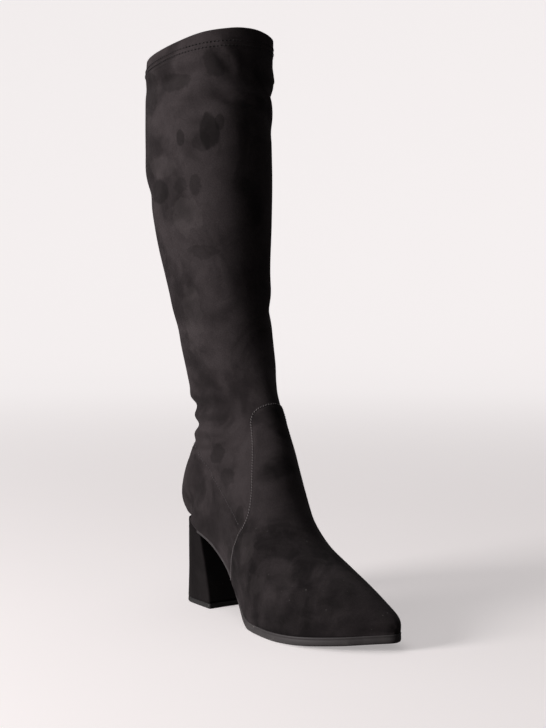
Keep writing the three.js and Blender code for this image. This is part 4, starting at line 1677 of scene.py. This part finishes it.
@dataclass
class Stitching(SubAssembly):
    """All the visible thread: the vamp's slanted seam, the counter's dots and the collar's two rows."""

    upper: Upper
    vamp: Vamp
    thread: float = 0.4
    vamp_stitch: Stitch = Stitch(2.3, 1.7, 38, 0.1)
    counter_stitch: Stitch = Stitch(2.7, 1.2, 0, 0.2)
    collar_stitch: Stitch = Stitch(3.2, 1.6, 28, 0.5)
    vamp_inset: float = 1.5
    counter_offset: float = 1.7
    collar_ends: float = 0.008

    def along_line(self, line: Array, normal: Array, stitch: Stitch) -> Shape:
        """Lays stitches along a line of points.

        Args:
            line: The points.
            normal: The direction out of the surface at each point.
            stitch: The kind of stitch.

        Returns:
            The joined points and faces.
        """
        marks = even_steps(line, stitch.pitch)
        out = between(normal, marks)
        direction = unit(between(line, marks + 0.5) - between(line, marks - 0.5))
        angle = math.radians(stitch.slant)
        direction = direction * math.cos(angle) + np.cross(out, direction) * math.sin(angle)
        return repeated(capsule(stitch.length, self.thread), between(line, marks), direction, out)

    def vamp_seam(self) -> bpy.types.Object:
        """Makes the close slanted stitches inside the vamp's edge.

        Returns:
            The piece.
        """
        places, turns = self.vamp.seam_line()
        points = self.form.skin(places, turns)
        out = -self.form.inwards(places, turns)
        inside = np.cross(unit(np.gradient(points, axis=0)), out)
        # The side direction is turned so that it points forward, to the vamp, a quarter of the way along.
        inset = self.vamp_inset if inside[len(points) // 4][1] < 0 else -self.vamp_inset
        lift = self.upper.drape(places, turns, points) + self.vamp.thick + self.vamp_stitch.rise
        shape = self.along_line(points + inside * inset + out * lift[:, None], out, self.vamp_stitch)
        return make_piece("vamp_stitches", *shape, Slot.SUEDE)

    def counter_seam(self) -> bpy.types.Object:
        """Makes the dotted stitches along the counter's seam.

        Returns:
            The piece.
        """
        shapes = []
        step = np.linspace(0.35, len(COUNTER_EDGE["fore"]) - 1.05, 160)
        fore = blended(COUNTER_EDGE["fore"], step)
        height = blended(COUNTER_EDGE["height"], step) + self.counter_offset
        for side in Side:
            place, turn = self.form.locate(fore, height, side)
            shapes.append(self.raised(place, turn, self.counter_stitch))
        return self.joined("counter_stitches", shapes)

    def collar_rows(self) -> bpy.types.Object:
        """Makes the two rows of coverstitch under the collar.

        Returns:
            The piece.
        """
        shapes = []
        last = float(self.form.last)
        middle, half = (values[0] for values in self.upper.slit(np.array([last])))
        first, final = middle + half + self.collar_ends, middle - half + 1 - self.collar_ends
        turn = np.linspace(first, final, 500)
        rim = self.form.skin(np.full(turn.shape, last), turn)[:, 2]
        drop = rim - self.form.skin(np.full(turn.shape, last - 1), turn)[:, 2]
        for row in self.upper.stitch_rows:
            place = last - row / drop
            for _ in range(3):
                place = place + (rim - row - self.form.skin(place, turn)[:, 2]) / drop
            shapes.append(self.raised(place, turn, self.collar_stitch))
        return self.joined("collar_stitches", shapes)

    def raised(self, place: Array, turn: Array, stitch: Stitch) -> Shape:
        """Lays stitches on the suede.

        Args:
            place: Places along their line.
            turn: Turns along their line.
            stitch: The kind of stitch.

        Returns:
            The joined points and faces.
        """
        plain = self.form.skin(place, turn)
        out = -self.form.inwards(place, turn)
        lift = self.upper.drape(place, turn, plain) + stitch.rise
        return self.along_line(plain + out * lift[:, None], out, stitch)

    def joined(self, name: str, shapes: list[Shape]) -> bpy.types.Object:
        """Makes one piece of several shapes.

        Args:
            name: The piece's name.
            shapes: The points and faces of each.

        Returns:
            The piece.
        """
        points, faces, count = [], [], 0
        for more, parts in shapes:
            points.append(more)
            faces += [tuple(v + count for v in face) for face in parts]
            count += len(more)
        return make_piece(name, np.concatenate(points), faces, Slot.SUEDE)

    def build(self) -> list[bpy.types.Object]:
        """Makes all the stitches."""
        return [self.vamp_seam(), self.counter_seam(), self.collar_rows()]

    def finishes(self) -> dict[str, bpy.types.Material]:
        """Thread of three shades, palest at the vamp and darkest at the collar.

        Returns:
            The finish of each by name.
        """
        return {
            "vamp_stitches": Thread().material(self.groups, "thread"),
            "counter_stitches": Thread((0.05, 0.044, 0.046)).material(self.groups, "thread_soft"),
            "collar_stitches": Thread((0.006, 0.005, 0.005)).material(self.groups, "thread_dark"),
        }


# --------------------------------------------------------------------------- sole and heel


@dataclass
class Sole(SubAssembly):
    """The rubber outsole: a thin shank and a thicker forefoot with a small ledge."""

    ledge: float = 2.0
    gap: float = 0.3
    breast: float = 2.6
    rows: int = 150
    # Half of the outsole's section, from its top to its tread: how far in from the edge each point is, its
    # level as a share of the thickness, and its rise above that level.
    profile: tuple[Triple, ...] = (
        (2.6, 1.0, -0.2),
        (2.2, 1.0, -1.3),
        (1.1, 1.0, -1.3),
        (0.85, 1.0, 0.1),
        (0.25, 1.0, 0.12),
        (0.0, 1.0, -0.3),
        (0.1, 0.8, 0.0),
        (0.28, 0.74, 0.0),
        (0.12, 0.66, 0.0),
        (0.06, 0.4, 0.0),
        (0.12, 0.2, 0.0),
        (0.45, 0.06, 0.0),
        (1.3, 0.0, 0.0),
        (3.0, 0.0, 0.0),
    )

    def section(self, along: Array) -> Array:
        """Points round the outsole at each distance along.

        Args:
            along: Distances from the heel's back, in percent of the length.

        Returns:
            A ring of points for each distance.
        """
        line = self.form.sole_line(along)
        y = self.form.plan(along)
        wide = self.ledge * smoothstep(along, 30, 50)
        top, tread = line["z"] - self.gap, line["tread"]
        half = [(inset, tread + (top - tread) * level + rise) for inset, level, rise in self.profile]
        outer = (Side.OUTER, line["mid"] - line["outer"], half)
        inner = (Side.INNER, line["mid"] + line["inner"], half[::-1])
        ring = []
        for side, x, order in (outer, inner):
            path = np.stack([x, y], 1)
            ahead = unit(np.gradient(path, axis=0))
            outwards = side.value * np.stack([-ahead[:, 1], ahead[:, 0]], 1)
            edge = path + outwards * wide[:, None]
            ring += [np.concatenate([edge - outwards * inset, z[:, None]], 1) for inset, z in order]
        return np.stack(ring, 1)

    def build(self) -> list[bpy.types.Object]:
        """Makes the outsole from the heel's breast to the toe.

        Returns:
            The outsole.
        """
        start = (self.form.heel_back + self.breast) / self.form.length * 100
        share = np.sin(np.linspace(0, math.pi / 2, self.rows))
        rings = self.section(start + (100 - start) * share)
        across = rings.shape[1]
        faces = grid_faces(len(rings), across, closed=True)
        faces.append(tuple(range(across))[::-1])
        sole = make_piece("outsole_rubber", rings.reshape(-1, 3), faces, Slot.RUBBER)
        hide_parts("outsole")
        return [sole]

    def finishes(self) -> dict[str, bpy.types.Material]:
        """The outsole's rubber."""
        return {"outsole_rubber": Rubber().material(self.groups, "outsole_rubber")}


@dataclass
class Heel(SubAssembly):
    """The flared block under the heel seat, covered in suede, and its rubber tip."""

    tip: float = 4.5
    gap: float = 0.3
    round_depth: float = 24.0
    corner: float = 0.64
    curved_share: float = 0.72
    side_angle: float = 0.35
    breast_bow: float = 0.7
    across: int = 160
    rows: int = 40
    # Heights above the floor and distances in from the edge, for each ring of the tip.
    tip_rings: tuple[tuple[float, float], ...] = (
        (0.0, 0.9),
        (0.35, 0.25),
        (0.9, 0.0),
        (3.6, 0.0),
        (4.2, 0.2),
        (4.5, 0.8),
    )
    middle: Triple = (-0.5, 0, 0)
    seat_rise: float = 1.8
    swell: float = 0.25

    def outline(self, level: Array, turn: Array) -> Array:
        """Points of the block's side.

        Args:
            level: Heights above the floor.
            turn: 0 to 1 from the inner breast corner round the back to the outer one, then along the breast.

        Returns:
            The points.
        """
        place = np.interp(level / self.form.heel_height * 100, HEEL_ROWS["level"], np.arange(4.0))
        back, breast, outer, inner = (
            blended(HEEL_ROWS[name], place) for name in ("back", "breast", "outer", "inner")
        )
        curved = np.clip(turn / self.curved_share, 0, 1)
        flat = np.clip((turn - self.curved_share) / (1 - self.curved_share), 0, 1)
        angle = -self.side_angle + curved * (math.pi + 2 * self.side_angle)
        cosine, sine = np.cos(angle), np.sin(angle)
        half = np.where(cosine > 0, inner, outer)
        round_x = half * np.sign(cosine) * np.abs(cosine) ** self.corner
        round_y = back - self.round_depth + self.round_depth * np.sign(sine) * np.abs(sine) ** self.corner
        side_y = -breast + (back - self.round_depth + breast) * np.clip(1 + sine / self.side_angle, 0, 1)
        x = np.where(sine < 0, np.where(cosine > 0, inner, -outer), round_x)
        y = np.where(sine < 0, side_y, round_y)
        on_breast = turn > self.curved_share
        x = np.where(on_breast, -outer + (inner + outer) * flat, x)
        y = np.where(on_breast, -breast + self.breast_bow * np.sin(flat * math.pi), y)
        return np.stack([x, y, level + 0 * turn], -1)

    def drawn_in(self, ring: Array, amount: float) -> Array:
        """Draws a ring of points towards the middle.

        Args:
            ring: The points.
            amount: How far each one moves, measured level.

        Returns:
            The smaller ring.
        """
        away = ring - np.array(self.middle)
        length = np.linalg.norm(away[:, :2], axis=1, keepdims=True)
        return ring - away * amount / np.maximum(length, 1e-6)

    def seat(self, wall: Array) -> Array:
        """Heights at which the block's side meets the heel seat.

        Args:
            wall: Points of the side, partway up.

        Returns:
            The height over each point.
        """
        along = (self.form.heel_back - wall[:, 1]) / self.form.length * 100
        line = self.form.sole_line(np.maximum(along, 0))["z"]
        return line - self.gap + smoothstep(wall[:, 1], 4, 18) * self.seat_rise

    def block(self) -> bpy.types.Object:
        """Makes the covered block, with its edges rounded at both ends.

        Returns:
            The piece.
        """
        turn = np.linspace(0, 1, self.across, endpoint=False)
        low = self.tip + self.gap
        high = self.seat(self.outline(np.full(turn.shape, 60.0), turn))
        rings = []
        for share in np.linspace(0, 1, self.rows):
            ring = self.outline(low + (high - low) * share, turn)
            swell = self.swell * np.sin(ring[:, 2] / 9 + turn * 14) * math.sin(share * math.pi)
            rings.append(ring + (ring - np.array(self.middle)) * swell[:, None] * 0.01)
        top = self.drawn_in(rings[-1], 0.8) + np.array([0, 0, 0.25])
        rings = [self.drawn_in(rings[0], 0.7), *rings, top]
        block = self.closed("heel_cover", np.array(rings), Slot.SUEDE)
        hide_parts("heel_block")
        return block

    def top_piece(self) -> bpy.types.Object:
        """Makes the rubber tip that the heel stands on.

        Returns:
            The piece.
        """
        turn = np.linspace(0, 1, self.across, endpoint=False)
        rings = [
            self.drawn_in(self.outline(np.full(turn.shape, level), turn), inset)
            for level, inset in self.tip_rings
        ]
        tip = self.closed("heel_tip_rubber", np.array(rings), Slot.RUBBER)
        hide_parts("heel_tip")
        return tip

    def closed(self, name: str, rings: Array, slot: Slot) -> bpy.types.Object:
        """Makes a piece of closed rings with a flat face at each end.

        Args:
            name: The piece's name.
            rings: Its rings, from the lowest up.
            slot: Its material slot.

        Returns:
            The piece.
        """
        across = rings.shape[1]
        faces = grid_faces(len(rings), across, closed=True)
        faces.append(tuple(range(across))[::-1])
        faces.append(tuple(range((len(rings) - 1) * across, len(rings) * across)))
        return make_piece(name, rings.reshape(-1, 3), faces, slot)

    def build(self) -> list[bpy.types.Object]:
        """Makes the block and the tip."""
        return [self.block(), self.top_piece()]

    def finishes(self) -> dict[str, bpy.types.Material]:
        """Flatter suede on the block, darkened as painted shade, and the tip's rubber.

        Returns:
            The finish of each by name.
        """
        # Painted shade: the block's suede is a darker copy of the shaft's, for its shaded side under the heel
        # seat.
        cover = Suede((0.0085, 0.007, 0.0073), (0.02, 0.0165, 0.0172), sheen=0.04, clouds=0.5, dust=0.12)
        rubber = Rubber((0.023, 0.0215, 0.022), (0.05, 0.048, 0.047))
        return {
            "heel_cover": cover.material(self.groups, "suede_heel_painted_shade"),
            "heel_tip_rubber": rubber.material(self.groups, "tip_rubber"),
        }


# --------------------------------------------------------------------------- zip and insole


@dataclass
class Zip(SubAssembly):
    """The zip's woven tape and its two rows of teeth, and the frame's slider and pull."""

    lower_end: float = 0.1
    chain_end: float = 0.06
    tape_width: float = 20.0
    tape_depth: float = 2.3
    tape_thick: float = 0.8
    cord_height: float = 0.5
    cord_breadth: float = 2.6
    tooth_pitch: float = 1.25
    tooth_length: float = 2.9
    tooth_radius: float = 0.46
    tooth_height: float = 1.35
    tooth_depth: float = 0.75
    tooth_offset: float = 0.55

    def places(self, count: int) -> Array:
        """Places along the zip, from its lower end to the collar."""
        return np.linspace(self.form.zip_first + self.lower_end, self.form.last - self.chain_end, count)

    def tape(self) -> bpy.types.Object:
        """Makes the tape, with a low cord down its middle.

        Returns:
            The piece.
        """
        place = self.places(200)
        middle = self.form.zip_turn(place)
        share = np.linspace(-0.5, 0.5, 17)
        turns = middle[:, None] + share[None, :] * (self.tape_width / self.form.girth(place))[:, None]
        places = np.repeat(place[:, None], len(share), 1)
        cord = self.cord_height * np.exp(-((share * self.tape_width / self.cord_breadth) ** 2))
        face = self.form.at(places, turns, self.tape_depth - cord[None, :] + 0 * places)
        back = self.form.at(places, turns, self.tape_depth + self.tape_thick + 0 * places)[:, ::-1]
        rings = np.concatenate([face, back], 1)
        faces = grid_faces(len(place), rings.shape[1], closed=True)
        tape = make_piece("zip_tape_weave", rings.reshape(-1, 3), faces, Slot.TAPE)
        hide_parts("zip_tape")
        return tape

    def teeth(self) -> bpy.types.Object:
        """Makes the two rows of interlocked teeth.

        Returns:
            The piece.
        """
        place = self.places(400)
        middle = self.form.zip_turn(place)
        line = self.form.at(place, middle, np.full(place.shape, self.tooth_depth))
        marks = even_steps(line, self.tooth_pitch / 2)
        centre = between(line, marks)
        out = between(-self.form.inwards(place, middle), marks)
        side = np.cross(out, unit(np.gradient(centre, axis=0)))
        sign = np.where(np.arange(len(marks)) % 2 == 0, 1.0, -1.0)[:, None]
        points, faces = capsule(self.tooth_length, self.tooth_radius, 6)
        points[:, 2] *= self.tooth_height
        shape = repeated((points, faces), centre + side * sign * self.tooth_offset, side, out)
        teeth = make_piece("zip_teeth", *shape, Slot.ZIP)
        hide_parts("zip_chain")
        return teeth

    def build(self) -> list[bpy.types.Object]:
        """Makes the tape and the teeth."""
        return [self.tape(), self.teeth()]

    def finishes(self) -> dict[str, bpy.types.Material]:
        """Woven tape, a fine coil for the teeth, and plated metal on the frame's slider and pull.

        Returns:
            The finish of each by name.
        """
        coil = Knit((0.01, 0.01, 0.01), (0.05, 0.05, 0.05), rows=9000.0)
        metal = Plated().material("plated_metal")
        return {
            "zip_tape_weave": Knit(rows=7000.0).material(self.groups, "zip_tape"),
            "zip_teeth": coil.material(self.groups, "zip_coil"),
            "zip_slider": metal,
            "zip_pull": metal,
        }


@dataclass
class Insole(SubAssembly):
    """The frame's insole board, which only needs its cloth cover's finish."""

    def finishes(self) -> dict[str, bpy.types.Material]:
        """The insole's woven cover.

        Returns:
            The finish of each by name.
        """
        cover = Knit((0.014, 0.0135, 0.014), (0.04, 0.038, 0.04), rows=4200.0)
        return {"insole": cover.material(self.groups, "insole_cover")}


# --------------------------------------------------------------------------- studio


@dataclass(frozen=True)
class Softbox:
    """A square soft light: where it stands, its size in metres, its power and its tint."""

    name: str
    where: Triple
    size: float
    watts: float
    tint: Triple


@dataclass
class Studio:
    """The floor with its curved backdrop, the lights and the camera. Its sizes are in metres."""

    flat: float = 2.6
    bend: float = 1.4
    wall: float = 1.0
    around: int = 96
    azimuth: float = -33.5
    reach: float = 1.272
    off: float = 0.0126
    aim: Triple = (0, -0.06, 0.2933)
    pitch: float = 3.67
    lens: float = 75.16
    world: float = 0.13
    sky: Triple = (1.0, 0.965, 0.965)
    lit: Triple = (0, -0.05, 0.25)
    softboxes: tuple[Softbox, ...] = (
        Softbox("key", (-1.8, 0.08, 0.62), 0.7, 40.0, (1.0, 0.97, 0.96)),
        Softbox("top", (-0.4, 0.4, 2.4), 1.4, 15.0, (1.0, 0.98, 0.98)),
    )

    def floor(self) -> None:
        """Makes the round floor, which turns up into a wall all round."""
        curve = [(share * self.flat, 0.0) for share in (0.02, 0.1, 0.25, 0.5, 0.75, 1.0)]
        for angle in np.linspace(0, math.pi / 2, 24)[1:]:
            curve.append((self.flat + self.bend * math.sin(angle), self.bend * (1 - math.cos(angle))))
        curve.append((self.flat + self.bend, self.bend + self.wall))
        turn = np.linspace(0, 2 * math.pi, self.around, endpoint=False)
        points = [(r * math.cos(a), r * math.sin(a), z) for r, z in curve for a in turn]
        mesh = bpy.data.meshes.new("studio_floor")
        faces = grid_faces(len(curve), self.around, closed=True, flip=True)
        faces.append(tuple(range(self.around)))
        mesh.from_pydata(points, [], faces)
        mesh.polygons.foreach_set("use_smooth", [True] * len(mesh.polygons))
        floor = bpy.data.objects.new("studio_floor", mesh)
        bpy.context.scene.collection.objects.link(floor)
        floor.data.materials.append(Backdrop().material())

    def hang(self, box: Softbox) -> None:
        """Hangs a soft light so that it faces the boot.

        Args:
            box: The light.
        """
        light = bpy.data.lights.new(box.name, "AREA")
        light.shape, light.size, light.energy, light.color = "SQUARE", box.size, box.watts, box.tint
        lamp = bpy.data.objects.new(box.name, light)
        where = Vector(box.where)
        lamp.location = where
        lamp.rotation_euler = (Vector(self.lit) - where).to_track_quat("-Z", "Y").to_euler()
        bpy.context.scene.collection.objects.link(lamp)

    def camera(self) -> None:
        """Makes the camera."""
        turn, pitch = math.radians(self.azimuth), math.radians(self.pitch)
        back = Vector((math.sin(turn), -math.cos(turn), 0))
        side = Vector((math.cos(turn), math.sin(turn), 0))
        data = bpy.data.cameras.new("camera")
        data.lens, data.sensor_width, data.sensor_fit = self.lens, 36.0, "AUTO"
        data.clip_start, data.clip_end = 0.05, 30
        camera = bpy.data.objects.new("camera", data)
        camera.location = Vector(self.aim) + back * self.reach + side * self.off
        look = -back * math.cos(pitch) - Vector((0, 0, math.sin(pitch)))
        camera.rotation_euler = look.to_track_quat("-Z", "Y").to_euler()
        bpy.context.scene.collection.objects.link(camera)
        bpy.context.scene.camera = camera

    def build(self) -> None:
        """Makes the floor, the camera, the faint light all round and the softboxes."""
        self.floor()
        self.camera()
        world = bpy.data.worlds.new("studio")
        world.use_nodes = True
        sky = world.node_tree.nodes["Background"]
        sky.inputs["Color"].default_value = (*self.sky, 1)
        sky.inputs["Strength"].default_value = self.world
        bpy.context.scene.world = world
        bpy.context.scene.view_settings.view_transform = "Standard"
        for box in self.softboxes:
            self.hang(box)


# --------------------------------------------------------------------------- boot


@dataclass
class Boot:
    """The whole boot, in the order in which its sub-assemblies are put together."""

    form: BootForm = field(default_factory=BootForm)
    groups: Groups = field(default_factory=Groups)

    def parts(self) -> list[SubAssembly]:
        """The sub-assemblies.

        Returns:
            One of each kind.
        """
        shared = (self.form, self.groups)
        upper = Upper(*shared)
        vamp = Vamp(*shared, upper)
        stitching = Stitching(*shared, upper, vamp)
        return [upper, vamp, stitching, Sole(*shared), Heel(*shared), Zip(*shared), Insole(*shared)]


def main() -> None:
    """Builds and dresses the boot, part by part, and sets up its studio."""
    logging.basicConfig(level=logging.INFO, format="%(name)s: %(message)s")
    for part in Boot().parts():
        pieces = part.build()
        part.dress(pieces)
        for piece in pieces:
            LOG.info("%s: %d faces", piece.name, len(piece.data.polygons))
    Studio().build()
    bpy.context.view_layer.update()


if __name__ == "__main__":
    main()
